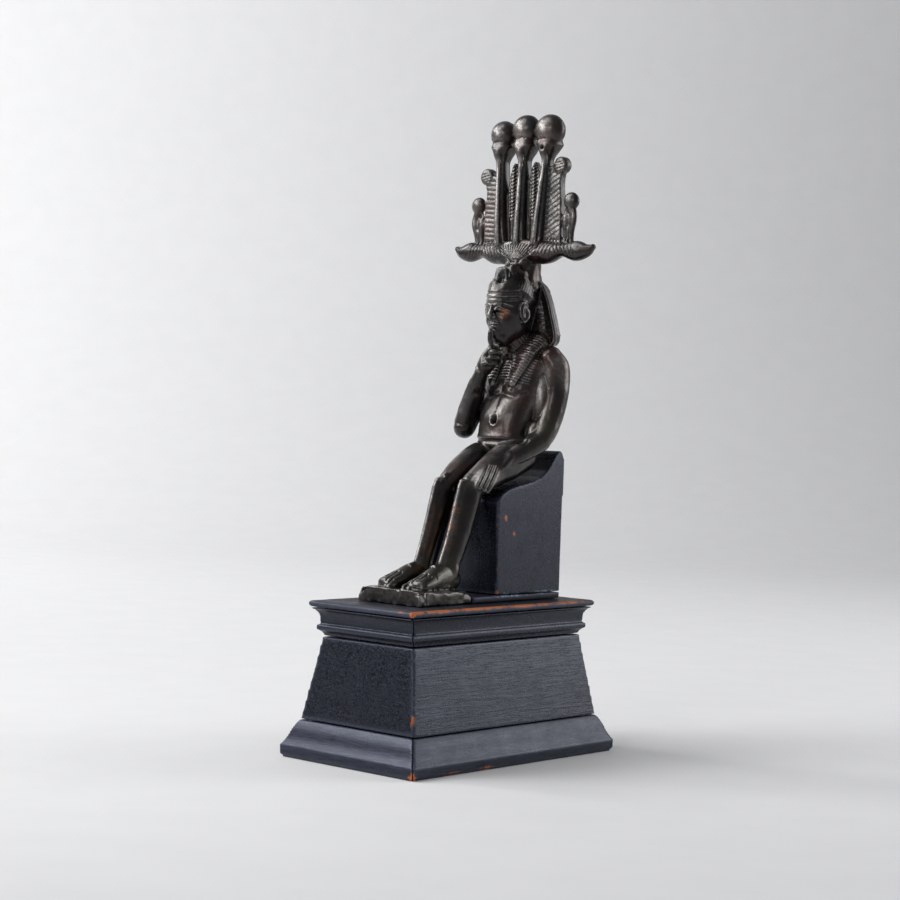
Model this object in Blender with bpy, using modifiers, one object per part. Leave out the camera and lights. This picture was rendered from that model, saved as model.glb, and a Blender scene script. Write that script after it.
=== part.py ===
"""Seated Harpocrates: a small cast bronze figure on a black wooden seat and plinth.

Metres, +Z up. The figure faces -Y and its own left side is +X. The origin is at
the centre of the plinth's underside. Run with
blender --background --python part.py, or from the text editor.
"""
import math

import bmesh
import bpy
from mathutils import Matrix, Vector

# Room left between two pieces that touch.
GAP = 0.0003

# Plinth: a tapered block with a cornice above and a base moulding below.
BASE_HEIGHT = 0.0134
BODY_HEIGHT = 0.0305
CORNICE_HEIGHT = 0.0100
TOP_BOARD_THICKNESS = 0.0026
BODY_BATTER_SIDE = 0.0055
BODY_BATTER_END = 0.0045
CORNICE_OVERHANG_SIDE = 0.0034
CORNICE_OVERHANG_END = 0.0047
BASE_OVERHANG_SIDE = 0.0053
BASE_OVERHANG_END = 0.0053
STRIP_SEATING = 0.0040
BASE_EDGE_HEIGHT = 0.0042
BASE_EDGE_UNDERCUT = 0.0010
PLINTH_HEIGHT = BASE_HEIGHT + BODY_HEIGHT + CORNICE_HEIGHT + TOP_BOARD_THICKNESS

# Seat and the thin board under it.
SEAT_WIDTH = 0.0310
SEAT_BOARD_THICKNESS = 0.0022

# Free margins of the plinth's top around the foot block and the seat.
TOP_MARGIN_FRONT = 0.0148
TOP_MARGIN_BACK = 0.0091
TOP_MARGIN_SIDE = 0.0101

# The statuette. Its pose and proportions are given in units of its own height:
# the whole casting, foot block to crown, is UNITS_TALL of them.
FIGURE_HEIGHT = 0.1816
UNITS_TALL = 18.16
UNIT = FIGURE_HEIGHT / UNITS_TALL
FOOT_BLOCK_FRONT = -3.55
FOOT_BLOCK_BACK = -0.78
FOOT_BLOCK_HALF_WIDTH = 1.50
FOOT_BLOCK_FRONT_HEIGHT = 0.53
FOOT_BLOCK_BACK_HEIGHT = 0.41
SEAT_FRONT = 0.46
SEAT_REAR = 4.14
VOXEL = 0.0005
FIGURE_TRIANGLES = 9000
RIB_STEPS = 6
PLUME_BARBS = 12
CHEVRONS = 11

# What follows from the sizes above.
TOP_WIDTH = SEAT_WIDTH + 2 * TOP_MARGIN_SIDE
FIGURE_DEPTH = (SEAT_REAR - FOOT_BLOCK_FRONT) * UNIT
TOP_DEPTH = TOP_MARGIN_FRONT + FIGURE_DEPTH + TOP_MARGIN_BACK
FIGURE_Y = -TOP_DEPTH / 2 + TOP_MARGIN_FRONT - FOOT_BLOCK_FRONT * UNIT
FIGURE_Z = PLINTH_HEIGHT + GAP


def clear_scene():
    """Remove every object of the open scene."""
    for item in list(bpy.data.objects):
        bpy.data.objects.remove(item, do_unlink=True)


def make_material(name, colour, roughness, metallic):
    """Return a Principled material with plain values."""
    material = bpy.data.materials.new(name)
    material.use_nodes = True
    shader = material.node_tree.nodes["Principled BSDF"]
    shader.inputs["Base Color"].default_value = (*colour, 1.0)
    shader.inputs["Roughness"].default_value = roughness
    shader.inputs["Metallic"].default_value = metallic
    return material


def new_object(name, bm, material, collection):
    """Turn a bmesh into a named object with outward faces."""
    bmesh.ops.recalc_face_normals(bm, faces=bm.faces)
    mesh = bpy.data.meshes.new(name)
    bm.to_mesh(mesh)
    bm.free()
    mesh.materials.append(material)
    item = bpy.data.objects.new(name, mesh)
    collection.objects.link(item)
    return item


def at(x, y, z):
    """Place a point given in the figure's units."""
    return Vector((x * UNIT, FIGURE_Y + y * UNIT, FIGURE_Z + z * UNIT))


def blend(a, b, c, d, t):
    """Catmull-Rom value between b and c."""
    return 0.5 * (
        2 * b + (c - a) * t + (2 * a - 5 * b + 4 * c - d) * t ** 2 + (3 * b - a - 3 * c + d) * t ** 3
    )


def smooth_stations(stations, steps):
    """Fill in stations along a smooth curve through the given ones."""
    last = len(stations) - 1
    result = []
    for index in range(last):
        four = [stations[max(0, min(last, index + k))] for k in (-1, 0, 1, 2)]
        for step in range(steps):
            result.append(tuple(blend(*values, step / steps) for values in zip(*four)))
    result.append(tuple(stations[last]))
    return result


def bridge(bm, rings):
    """Skin a row of equal rings and close both ends."""
    for lower, upper in zip(rings, rings[1:]):
        count = len(lower)
        for index in range(count):
            after = (index + 1) % count
            bm.faces.new((lower[index], lower[after], upper[after], upper[index]))
    bm.faces.new(list(reversed(rings[0])))
    bm.faces.new(rings[-1])


def limb(bm, stations, side=(1, 0, 0), sides=20, square=2.0, ridge=0.0, steps=4, ribs=0, rib_depth=0.0):
    """Loft a round-ended limb.

    A station is (x, y, z, half width along side, half depth across it) in figure
    units. square above 2 flattens the section, and ridge sharpens its -depth edge.
    ribs is a count of rounded ribs along it, rib_depth units proud.
    """
    side = Vector(side)
    if ribs:
        steps = math.ceil(RIB_STEPS * ribs / (len(stations) - 1))
    rows = smooth_stations(stations, steps)
    if ribs:
        last_row = len(rows) - 1
        waves = [rib_depth * math.cos(2 * math.pi * ribs * index / last_row) for index in range(len(rows))]
        rows = [(x, y, z, a + wave, b + wave) for (x, y, z, a, b), wave in zip(rows, waves)]
    points = [at(*row[:3]) for row in rows]
    rings = []
    for index, row in enumerate(rows):
        ahead = points[min(index + 1, len(rows) - 1)]
        behind = points[max(index - 1, 0)]
        along = (ahead - behind).normalized()
        across = along.cross(side).normalized()
        wide = across.cross(along).normalized()
        if index == 0:
            rings.extend(end_rings(bm, points[0], -along, wide, across, row, sides, square, ridge))
            rings.reverse()
        rings.append(section(bm, points[index], wide, across, row[3], row[4], sides, square, ridge))
        if index == len(rows) - 1:
            rings.extend(end_rings(bm, points[index], along, wide, across, row, sides, square, ridge))
    bridge(bm, rings)


def end_rings(bm, centre, out, wide, across, row, sides, square, ridge):
    """Rings that close a limb with a dome."""
    dome = min(row[3], row[4]) * UNIT
    rings = []
    for angle in (30, 55, 75):
        shrink = math.cos(math.radians(angle))
        push = math.sin(math.radians(angle)) * dome
        half = (row[3] * shrink, row[4] * shrink)
        rings.append(section(bm, centre + out * push, wide, across, *half, sides, square, ridge))
    return rings


def section(bm, centre, wide, across, half_width, half_depth, sides, square, ridge):
    """One superelliptic ring of a limb."""
    ring = []
    for index in range(sides):
        angle = 2 * math.pi * index / sides
        cos, sin = math.cos(angle), math.sin(angle)
        x = math.copysign(abs(cos) ** (2 / square), cos) * half_width
        y = math.copysign(abs(sin) ** (2 / square), sin) * half_depth
        y *= 1 + ridge * max(0.0, sin) ** 6
        ring.append(bm.verts.new(centre + (wide * x + across * y) * UNIT))
    return ring


def ball(bm, centre, radii, tilt=0.0, segments=20, rings=12):
    """Add an ellipsoid; tilt turns it about X in degrees."""
    matrix = (
        Matrix.Translation(at(*centre))
        @ Matrix.Rotation(math.radians(tilt), 4, "X")
        @ Matrix.Diagonal((radii[0] * UNIT, radii[1] * UNIT, radii[2] * UNIT, 1))
    )
    bmesh.ops.create_uvsphere(bm, u_segments=segments, v_segments=rings, radius=1.0, matrix=matrix)


def sheet(bm, outline, front, back):
    """Extrude a flat outline of (x, z) points from y = front to y = back."""
    face = bm.faces.new([bm.verts.new(at(x, front, z)) for x, z in outline])
    grown = bmesh.ops.extrude_face_region(bm, geom=[face])
    moved = [item for item in grown["geom"] if isinstance(item, bmesh.types.BMVert)]
    bmesh.ops.translate(bm, verts=moved, vec=(0, (back - front) * UNIT, 0))


def foot_block(bm):
    """The cast block under the feet, a little higher in front."""
    wide = FOOT_BLOCK_HALF_WIDTH
    rings = []
    for y, top in ((FOOT_BLOCK_FRONT, FOOT_BLOCK_FRONT_HEIGHT), (FOOT_BLOCK_BACK, FOOT_BLOCK_BACK_HEIGHT)):
        corners = ((-wide, 0), (wide, 0), (wide, top), (-wide, top))
        rings.append([bm.verts.new(at(x, y, z)) for x, z in corners])
    bridge(bm, rings)


def leg(bm, side):
    """Shin, ankle and foot of one leg."""
    shin = [
        (0.74, -0.22, 3.98, 0.46, 0.46),
        (0.72, -0.34, 3.55, 0.45, 0.46),
        (0.70, -0.54, 2.90, 0.43, 0.46),
        (0.68, -0.86, 2.00, 0.39, 0.42),
        (0.66, -1.12, 1.40, 0.36, 0.40),
        (0.66, -1.24, 0.95, 0.38, 0.46),
    ]
    foot = [
        (0.66, -0.92, 0.78, 0.30, 0.36),
        (0.67, -1.30, 0.90, 0.36, 0.52),
        (0.69, -1.85, 0.85, 0.40, 0.46),
        (0.72, -2.45, 0.72, 0.47, 0.33),
        (0.74, -2.85, 0.65, 0.48, 0.24),
    ]
    limb(bm, [(side * x, y, z, a, b) for x, y, z, a, b in shin], ridge=0.16)
    limb(bm, [(side * x, y, z, a, b) for x, y, z, a, b in foot])
    for toe in range(5):
        x = 0.36 + 0.185 * toe
        front = -3.22 + 0.05 * toe ** 1.9
        thick = 0.135 - 0.012 * toe
        limb(
            bm,
            [(side * x, -2.6, 0.66, thick, thick), (side * x, front + 0.1, 0.58, thick * 0.9, thick * 0.9)],
            sides=10,
            steps=1,
        )


def thigh(bm, side):
    """One thigh from knee to hip."""
    stations = [
        (0.74, -0.22, 4.02, 0.46, 0.40),
        (0.77, 0.15, 4.30, 0.52, 0.46),
        (0.80, 0.85, 4.72, 0.60, 0.58),
        (0.80, 1.60, 5.05, 0.66, 0.68),
        (0.72, 2.50, 5.40, 0.70, 0.72),
    ]
    limb(bm, [(side * x, y, z, a, b) for x, y, z, a, b in stations], square=2.3)


def torso(bm):
    """Pelvis, belly, chest and neck."""
    ball(bm, (0, 2.45, 5.42), (1.40, 0.80, 0.66), tilt=-15)
    stations = [
        (0, 2.35, 5.50, 1.20, 0.70),
        (0, 2.35, 6.05, 1.02, 0.68),
        (0, 2.52, 6.65, 1.10, 0.72),
        (0, 2.80, 7.40, 1.22, 0.68),
        (0, 3.02, 8.20, 1.30, 0.64),
        (0, 3.20, 8.85, 1.42, 0.58),
        (0, 3.15, 9.25, 1.00, 0.46),
    ]
    limb(bm, stations, square=2.3)
    limb(bm, [(0, 3.15, 9.0, 0.62, 0.6), (0, 2.85, 9.9, 0.60, 0.6)])
    for side in (-1, 1):
        ball(bm, (side * 1.12, 3.02, 7.20), (0.50, 0.30, 1.30))


def resting_arm(bm):
    """The left arm, bent, with its hand flat on the thigh."""
    upper = [
        (1.40, 3.34, 9.00, 0.44, 0.46),
        (1.56, 3.46, 8.60, 0.52, 0.52),
        (1.60, 3.49, 7.90, 0.49, 0.50),
        (1.58, 3.34, 7.10, 0.47, 0.47),
        (1.55, 3.04, 6.35, 0.46, 0.44),
        (1.52, 2.72, 5.92, 0.42, 0.42),
    ]
    lower = [
        (1.53, 2.75, 5.92, 0.40, 0.42),
        (1.42, 2.10, 5.56, 0.36, 0.38),
        (1.25, 1.40, 5.22, 0.31, 0.31),
        (1.12, 0.95, 5.00, 0.26, 0.25),
    ]
    limb(bm, upper)
    limb(bm, lower)
    limb(bm, [(1.12, 0.98, 5.00, 0.28, 0.20), (1.10, 0.62, 4.72, 0.36, 0.16)], side=(1, 0, -0.55))
    for finger in range(4):
        x = 0.86 + 0.155 * finger
        z = 4.72 - 0.10 * finger
        limb(
            bm,
            [(x, 0.66, z + 0.06, 0.09, 0.11), (x - 0.03, 0.18 + 0.03 * finger, z - 0.52, 0.08, 0.10)],
            sides=10,
            steps=1,
        )


def raised_arm(bm):
    """The right arm, its forefinger at the lips."""
    upper = [
        (-1.42, 3.30, 9.00, 0.42, 0.46),
        (-1.60, 3.35, 8.55, 0.48, 0.50),
        (-1.70, 3.05, 7.80, 0.46, 0.47),
        (-1.75, 2.62, 7.05, 0.45, 0.45),
        (-1.75, 2.22, 6.45, 0.44, 0.44),
    ]
    lower = [
        (-1.75, 2.20, 6.45, 0.43, 0.44),
        (-1.38, 2.02, 7.15, 0.38, 0.40),
        (-0.98, 1.85, 7.80, 0.32, 0.33),
        (-0.55, 1.70, 8.42, 0.26, 0.25),
    ]
    limb(bm, upper)
    limb(bm, lower, side=(0, 1, 0))
    limb(bm, [(-0.42, 1.74, 8.60, 0.30, 0.32), (-0.08, 1.78, 9.10, 0.34, 0.34)], side=(0, 1, 0))
    limb(bm, [(-0.04, 1.66, 9.25, 0.13, 0.13), (0.02, 1.46, 9.84, 0.10, 0.10)], sides=10)


def head(bm):
    """Skull and face of calm, regular proportions."""
    stations = [
        (0, 2.05, 9.72, 0.36, 0.46),
        (0, 2.22, 9.98, 0.60, 0.78),
        (0, 2.40, 10.35, 0.76, 1.05),
        (0, 2.50, 10.85, 0.84, 1.17),
        (0, 2.60, 11.30, 0.80, 1.06),
        (0, 2.70, 11.65, 0.62, 0.85),
    ]
    limb(bm, stations, square=2.15)
    limb(bm, [(0, 1.42, 10.92, 0.10, 0.12), (0, 1.25, 10.55, 0.14, 0.12)], sides=10)
    ball(bm, (0, 1.50, 10.20), (0.27, 0.20, 0.13))
    ball(bm, (0, 1.72, 9.78), (0.26, 0.24, 0.17))
    for side in (-1, 1):
        ball(bm, (side * 0.86, 2.46, 10.72), (0.12, 0.20, 0.34))


def headcloth(bm):
    """The striped cloth: brow band, cap, wings, tail and two lappets."""
    cap = [
        (0, 2.68, 11.28, 0.88, 1.12),
        (0, 2.84, 11.62, 0.76, 0.98),
        (0, 2.95, 11.92, 0.60, 0.80),
    ]
    limb(bm, cap)
    wings = [
        (0, 3.56, 11.70, 0.54, 0.44),
        (0, 3.62, 11.20, 0.92, 0.50),
        (0, 3.68, 10.60, 1.16, 0.50),
        (0, 3.72, 10.00, 1.28, 0.48),
        (0, 3.66, 9.55, 1.26, 0.40),
    ]
    limb(bm, wings, square=3.0, ribs=14, rib_depth=0.018)
    tail = [(0, 3.86, 9.60, 0.55, 0.30), (0, 3.80, 8.70, 0.34, 0.22), (0, 3.72, 8.0, 0.24, 0.16)]
    limb(bm, tail, ribs=8, rib_depth=0.02)
    for side in (-1, 1):
        lappet = [
            (side * 0.74, 3.20, 9.62, 0.62, 0.34),
            (side * 0.68, 2.78, 9.22, 0.52, 0.26),
            (side * 0.61, 2.52, 8.75, 0.39, 0.19),
            (side * 0.54, 2.36, 8.30, 0.26, 0.15),
            (side * 0.50, 2.28, 8.02, 0.14, 0.12),
        ]
        limb(bm, lappet, square=2.6, ribs=11, rib_depth=0.025)
    limb(bm, [(0, 1.72, 11.32, 0.24, 0.18), (0, 1.62, 11.80, 0.29, 0.16), (0, 1.76, 12.14, 0.22, 0.16)])
    coil = [(0, 1.80, 12.02, 0.16, 0.18), (0, 2.20, 12.00, 0.14, 0.16), (0, 2.60, 11.95, 0.2, 0.2)]
    limb(bm, coil, sides=10)


def crown(bm):
    """Stem, ram's horns, three reed bundles with discs, plumes and cobras."""
    stem = [
        (0, 3.18, 11.60, 0.82, 0.90),
        (0, 3.24, 12.00, 0.68, 0.72),
        (0, 3.22, 12.60, 0.66, 0.66),
    ]
    limb(bm, stem)
    limb(bm, [(0, 2.76, 12.42, 0.26, 0.22), (0, 2.90, 12.85, 0.62, 0.34), (0, 2.98, 13.25, 0.95, 0.36)])
    for side in (-1, 1):
        horn(bm, side)
        plume(bm, side)
        cobra(bm, side)
        chevron_plume(bm, side)
    bundle(bm, -0.92, -1.08, 17.43, 0.55)
    bundle(bm, 0.0, -0.02, 17.56, 0.58)
    bundle(bm, 0.94, 1.15, 17.55, 0.62)


def horn(bm, side):
    """One level, twisted ram's horn with two lobes and an upturned tip."""
    stations = [
        (0.20, 3.12, 12.95, 0.36, 0.40),
        (0.80, 3.12, 12.96, 0.42, 0.38),
        (1.35, 3.12, 13.00, 0.42, 0.36),
        (1.95, 3.14, 13.10, 0.27, 0.30),
        (2.55, 3.16, 13.08, 0.38, 0.30),
        (3.02, 3.18, 13.10, 0.27, 0.24),
        (3.32, 3.19, 13.24, 0.12, 0.14),
    ]
    dip = 0.05 if side > 0 else 0.02
    placed = [(side * x, y, z - dip * x, a, b) for x, y, z, a, b in stations]
    limb(bm, placed, side=(0, 0, 1), sides=16, ribs=12, rib_depth=0.022)


def plume(bm, side):
    """An outer ostrich plume with slanting barbs and a curled tip.

    The plume on the figure's right is a little shorter, and its barbs lie flatter.
    """
    drop = 0.26 if side < 0 else 0.0
    slant = 0.08 if side < 0 else 0.30
    outline = [(1.05, 13.1), (1.88, 13.1), (1.86, 14.4), (1.78, 15.6)]
    outline += [(1.66, 16.0), (1.20, 16.1), (1.05, 15.0)]
    sheet(bm, [(side * x, z - (drop if z > 15 else 0)) for x, z in outline], 3.02, 3.34)
    curl(bm, side * (1.86 if side < 0 else 1.74), 16.14 - drop, 0.30)
    for barb in range(PLUME_BARBS):
        z = 13.55 + barb * (2.35 - drop) / PLUME_BARBS
        for y in (3.02, 3.34):
            low = (side * 1.12, y, z, 0.05, 0.05)
            limb(bm, [low, (side * 1.80, y, z + slant, 0.05, 0.05)], side=(0, 1, 0), sides=6, steps=1)


def curl(bm, x, z, radius):
    """A flat round boss that faces -Y."""
    outline = [
        (x + radius * math.cos(math.radians(angle)), z + radius * math.sin(math.radians(angle)))
        for angle in range(0, 360, 20)
    ]
    sheet(bm, outline, 2.98, 3.36)


def cobra(bm, side):
    """A cobra with a disc on its head, beside the plume."""
    body = [
        (side * 2.16, 3.19, 13.15, 0.26, 0.16),
        (side * 2.22, 3.12, 13.70, 0.27, 0.16),
        (side * 2.24, 3.12, 14.20, 0.22, 0.16),
        (side * 2.24, 3.14, 14.50, 0.14, 0.14),
    ]
    limb(bm, body, sides=12)
    ball(bm, (side * 2.28, 3.16, 14.80), (0.33, 0.20, 0.33))


def chevron_plume(bm, side):
    """A narrow plume between two bundles."""
    outline = [(0.30, 13.1), (0.70, 13.1), (0.72, 15.6), (0.60, 16.2)]
    outline += [(0.47, 16.45), (0.36, 16.2), (0.30, 15.6)]
    sheet(bm, [(side * x, z) for x, z in outline], 3.00, 3.26)
    limb(bm, [(side * 0.5, 3.00, 13.2, 0.07, 0.08), (side * 0.5, 2.98, 16.2, 0.06, 0.07)], sides=8, steps=1)
    for chevron in range(CHEVRONS):
        z = 14.6 + chevron * 1.6 / CHEVRONS
        for edge in (0.34, 0.66):
            spine = (side * 0.5, 2.98, z, 0.045, 0.05)
            limb(bm, [spine, (side * edge, 3.00, z + 0.12, 0.045, 0.05)], side=(0, 1, 0), sides=6, steps=1)


def bundle(bm, x_low, x_high, top, disc):
    """One reed bundle, widening downward, with collar, umbel and a disc at height top."""
    def lean(z):
        share = (z - 13.2) / (17.5 - 13.2)
        return x_low + (x_high - x_low) * share, 3.16 - 0.02 * share

    stations = []
    for z, wide, deep in (
        (13.10, 0.44, 0.42),
        (14.20, 0.38, 0.38),
        (15.40, 0.29, 0.32),
        (16.30, 0.22, 0.26),
        (16.62, 0.24, 0.26),
        (16.88, 0.42, 0.36),
        (17.00, 0.46, 0.38),
    ):
        stations.append((*lean(z), z, wide, deep))
    limb(bm, stations, sides=16, ridge=0.18)
    ball(bm, (*lean(top), top), (disc, 0.50, disc - 0.01))


def make_statuette(material, collection):
    """The whole casting as one closed body."""
    bm = bmesh.new()
    foot_block(bm)
    for side in (-1, 1):
        leg(bm, side)
        thigh(bm, side)
    torso(bm)
    resting_arm(bm)
    raised_arm(bm)
    head(bm)
    headcloth(bm)
    crown(bm)
    item = new_object("bronze_statuette", bm, material, collection)
    remesh = item.modifiers.new("Fuse", "REMESH")
    remesh.mode = "VOXEL"
    remesh.voxel_size = VOXEL
    soften = item.modifiers.new("Soften", "SMOOTH")
    soften.factor = 0.5
    soften.iterations = 4
    fused = bpy.data.meshes.new_from_object(item.evaluated_get(bpy.context.evaluated_depsgraph_get()))
    item.modifiers.clear()
    item.data = fused
    triangles = sum(len(face.vertices) - 2 for face in fused.polygons)
    thin = item.modifiers.new("Thin", "DECIMATE")
    thin.ratio = min(1.0, FIGURE_TRIANGLES / triangles)
    return item


def tapered_block(bm, levels):
    """A solid of level rectangles: (half width, half depth, z) from the bottom up."""
    rings = []
    for wide, deep, z in levels:
        corners = ((-wide, -deep), (wide, -deep), (wide, deep), (-wide, deep))
        rings.append([bm.verts.new((x, y, z)) for x, y in corners])
    bridge(bm, rings)


def arc(centre, radius, first, last, steps):
    """Points on a circular arc, angles in degrees."""
    points = []
    for step in range(steps + 1):
        angle = math.radians(first + (last - first) * step / steps)
        points.append((centre[0] + radius * math.cos(angle), centre[1] + radius * math.sin(angle)))
    return points


def cornice_profile():
    """Outline of a cornice strip as (share of overhang, height above its foot)."""
    tall = CORNICE_HEIGHT
    recess = [(-0.04, 0.0), (0.05, 0.10 * tall)]
    bead = []
    for angle in range(-100, 101, 25):
        out, up = math.cos(math.radians(angle)), math.sin(math.radians(angle))
        bead.append((0.34 + 0.143 * out, tall * (0.30 + 0.11 * up)))
    hollow = [(0.22, 0.42 * tall)]
    for angle in range(0, 91, 15):
        out, up = 1 - math.cos(math.radians(angle)), math.sin(math.radians(angle))
        hollow.append((0.22 + 0.60 * out, tall * (0.52 + 0.44 * up)))
    return recess + bead + hollow + [(0.82, tall)]


def base_profile():
    """Outline of a base strip as (share of overhang, height above the floor)."""
    under = BASE_EDGE_UNDERCUT
    edge = BASE_EDGE_HEIGHT
    slope = []
    for step in range(9):
        up = step / 8
        out = 1.0 - 0.94 * up - 0.05 * math.sin(2 * math.pi * up)
        slope.append((out, edge + (BASE_HEIGHT - edge) * up))
    foot = [(1.0 - under / BASE_OVERHANG_SIDE, 0.0), (0.97, 0.3 * edge)]
    return foot + slope


def strip(bm, side, profile, foot, half_wide, half_deep, over_wide, over_deep):
    """One mitred moulding strip around the block.

    side counts front, left, back, right as 0 to 3. The strip seats on a face that
    lies STRIP_SEATING inside the given half sizes.
    """
    inner = STRIP_SEATING - GAP
    outline = [(share * over_wide, share * over_deep, z) for share, z in profile]
    top = outline[-1][2]
    outline += [(-inner, -inner, top), (-inner, -inner, outline[0][2])]
    signs = (((-1, -1), (1, -1)), ((1, -1), (1, 1)), ((1, 1), (-1, 1)), ((-1, 1), (-1, -1)))[side]
    rings = []
    for end, (sign_x, sign_y) in enumerate(signs):
        pull = GAP / 2 if end == 0 else -GAP / 2
        along = ((1, 0), (0, 1), (-1, 0), (0, -1))[side]
        ring = []
        for out_x, out_y, z in outline:
            x = sign_x * (half_wide + out_x) + along[0] * pull
            y = sign_y * (half_deep + out_y) + along[1] * pull
            ring.append(bm.verts.new((x, y, foot + z)))
        rings.append(ring)
    bridge(bm, rings)


def make_plinth(collection, wood):
    """Block, four base strips, four cornice strips and the top board."""
    body_wide = TOP_WIDTH / 2 - CORNICE_OVERHANG_SIDE
    body_deep = TOP_DEPTH / 2 - CORNICE_OVERHANG_END
    foot_wide = body_wide + BODY_BATTER_SIDE
    foot_deep = body_deep + BODY_BATTER_END
    shoulder = BASE_HEIGHT + BODY_HEIGHT
    board_foot = shoulder + CORNICE_HEIGHT
    seating = STRIP_SEATING
    bm = bmesh.new()
    tapered_block(
        bm,
        (
            (foot_wide - seating, foot_deep - seating, 0.0),
            (foot_wide - seating, foot_deep - seating, BASE_HEIGHT + GAP),
            (foot_wide, foot_deep, BASE_HEIGHT + GAP),
            (body_wide, body_deep, shoulder - GAP),
            (body_wide - seating, body_deep - seating, shoulder - GAP),
            (body_wide - seating, body_deep - seating, board_foot - GAP),
        ),
    )
    new_object("plinth_block", bm, wood, collection)
    for index, place in enumerate(("front", "left", "back", "right")):
        bm = bmesh.new()
        strip(bm, index, base_profile(), 0.0, foot_wide, foot_deep, BASE_OVERHANG_SIDE, BASE_OVERHANG_END)
        new_object("base_moulding_" + place, bm, wood, collection)
        bm = bmesh.new()
        strip(
            bm, index, cornice_profile(), shoulder, body_wide, body_deep,
            CORNICE_OVERHANG_SIDE, CORNICE_OVERHANG_END,
        )
        new_object("cornice_" + place, bm, wood, collection)
    board = TOP_BOARD_THICKNESS
    levels = []
    for x, z in arc((0.0, board / 2), board / 2, -80, 75, 6):
        inset = board / 2 - x
        level = board_foot + GAP + z * (1 - GAP / board)
        levels.append((TOP_WIDTH / 2 - inset, TOP_DEPTH / 2 - inset, level))
    levels.append((TOP_WIDTH / 2 - board, TOP_DEPTH / 2 - board, PLINTH_HEIGHT))
    bm = bmesh.new()
    tapered_block(bm, levels)
    new_object("top_board", bm, wood, collection)


def make_seat(collection, wood):
    """The seat block, cut to one outline, and the thin board it is glued to."""
    half = SEAT_WIDTH / 2
    board_top = PLINTH_HEIGHT + GAP + SEAT_BOARD_THICKNESS
    front = at(0, FOOT_BLOCK_BACK, 0).y + GAP
    rear = at(0, SEAT_REAR, 0).y
    bm = bmesh.new()
    matrix = Matrix.Translation((0, (front + rear) / 2, board_top - SEAT_BOARD_THICKNESS / 2))
    size = Matrix.Diagonal((2 * half, rear - front, SEAT_BOARD_THICKNESS, 1))
    bmesh.ops.create_cube(bm, size=1.0, matrix=matrix @ size)
    new_object("seat_board", bm, wood, collection)
    face_front = [(SEAT_FRONT + 0.06, 0.0), (SEAT_FRONT, 3.60)]
    face_front += [(SEAT_FRONT + 0.06, 3.76), (SEAT_FRONT + 0.25, 3.92)]
    hollow = [(1.00, 4.08), (1.60, 4.23), (2.30, 4.36), (2.85, 4.53), (3.24, 4.80), (3.50, 5.12)]
    backrest = [(3.72, 5.42), (3.84, 5.52), (3.96, 5.53), (4.08, 5.42), (SEAT_REAR + 0.05, 5.15)]
    face_rear = [(SEAT_REAR, 3.0), (SEAT_REAR - 0.03, 0.0)]
    bm = bmesh.new()
    ring = []
    for y, z in face_front + hollow + backrest + face_rear:
        height = max(at(0, 0, z).z, board_top + GAP)
        ring.append(bm.verts.new((-half, at(0, y, 0).y, height)))
    face = bm.faces.new(ring)
    grown = bmesh.ops.extrude_face_region(bm, geom=[face])
    moved = [item for item in grown["geom"] if isinstance(item, bmesh.types.BMVert)]
    bmesh.ops.translate(bm, verts=moved, vec=(2 * half, 0, 0))
    new_object("seat_block", bm, wood, collection)


def main():
    """Build every piece in its place."""
    clear_scene()
    collection = bpy.data.collections.new("harpocrates_statue")
    bpy.context.scene.collection.children.link(collection)
    bronze = make_material("dark_bronze", (0.055, 0.045, 0.038), 0.38, 1.0)
    wood = make_material("ebonised_wood", (0.035, 0.036, 0.045), 0.42, 0.0)
    make_plinth(collection, wood)
    make_seat(collection, wood)
    make_statuette(bronze, collection)


main()
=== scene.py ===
"""Scene of a small seated Harpocrates, cast in bronze, on a black wooden seat and plinth.

The figure faces -Y and its own left side is +X. The casting is modelled as closed
solids that are fused, carved in its surface and thinned. The plinth and the seat are
joiner's work: a tapered block, mitred mouldings, a top board and a sawn seat.
"""

import logging
import math
from dataclasses import dataclass, field
from enum import Enum

import bmesh
import bpy
import numpy as np
from mathutils import Matrix, Vector

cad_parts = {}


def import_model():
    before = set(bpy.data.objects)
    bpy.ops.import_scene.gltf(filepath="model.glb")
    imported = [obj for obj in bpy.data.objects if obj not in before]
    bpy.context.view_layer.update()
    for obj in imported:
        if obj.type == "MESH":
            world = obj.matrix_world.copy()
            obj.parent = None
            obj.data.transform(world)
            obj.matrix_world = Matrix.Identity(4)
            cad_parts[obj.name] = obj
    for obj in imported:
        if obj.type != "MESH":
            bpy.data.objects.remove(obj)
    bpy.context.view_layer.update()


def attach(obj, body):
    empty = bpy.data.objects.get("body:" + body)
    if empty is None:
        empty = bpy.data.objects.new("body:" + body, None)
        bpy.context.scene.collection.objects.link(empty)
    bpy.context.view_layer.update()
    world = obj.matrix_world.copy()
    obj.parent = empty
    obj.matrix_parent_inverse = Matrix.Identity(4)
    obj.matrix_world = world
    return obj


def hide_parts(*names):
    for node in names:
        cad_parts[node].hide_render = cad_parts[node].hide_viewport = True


LOG = logging.getLogger("harpocrates")
Row = tuple[float, float, float, float, float]
Point = tuple[float, float, float]
Spot = tuple[Point, Point, float]

# One figure unit, a centimetre, in metres.
UNIT = 0.01
# Where the figure's own origin stands in the shared frame, in metres.
FIGURE_Y = -0.0001
FIGURE_Z = 0.0568
# Space between wooden pieces, in metres.
GAP = 0.0003
# Side of the photograph's frame, and width of the camera's sensor.
FRAME_PX = 900
SENSOR_MM = 36.0


class Cut(Enum):
    """The section of a carved stroke."""

    ROUND = "round"
    VEE = "vee"


class Place(Enum):
    """The four sides of the plinth, with the quarter turns from the front."""

    FRONT = 0
    LEFT = 1
    BACK = 2
    RIGHT = 3


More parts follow.
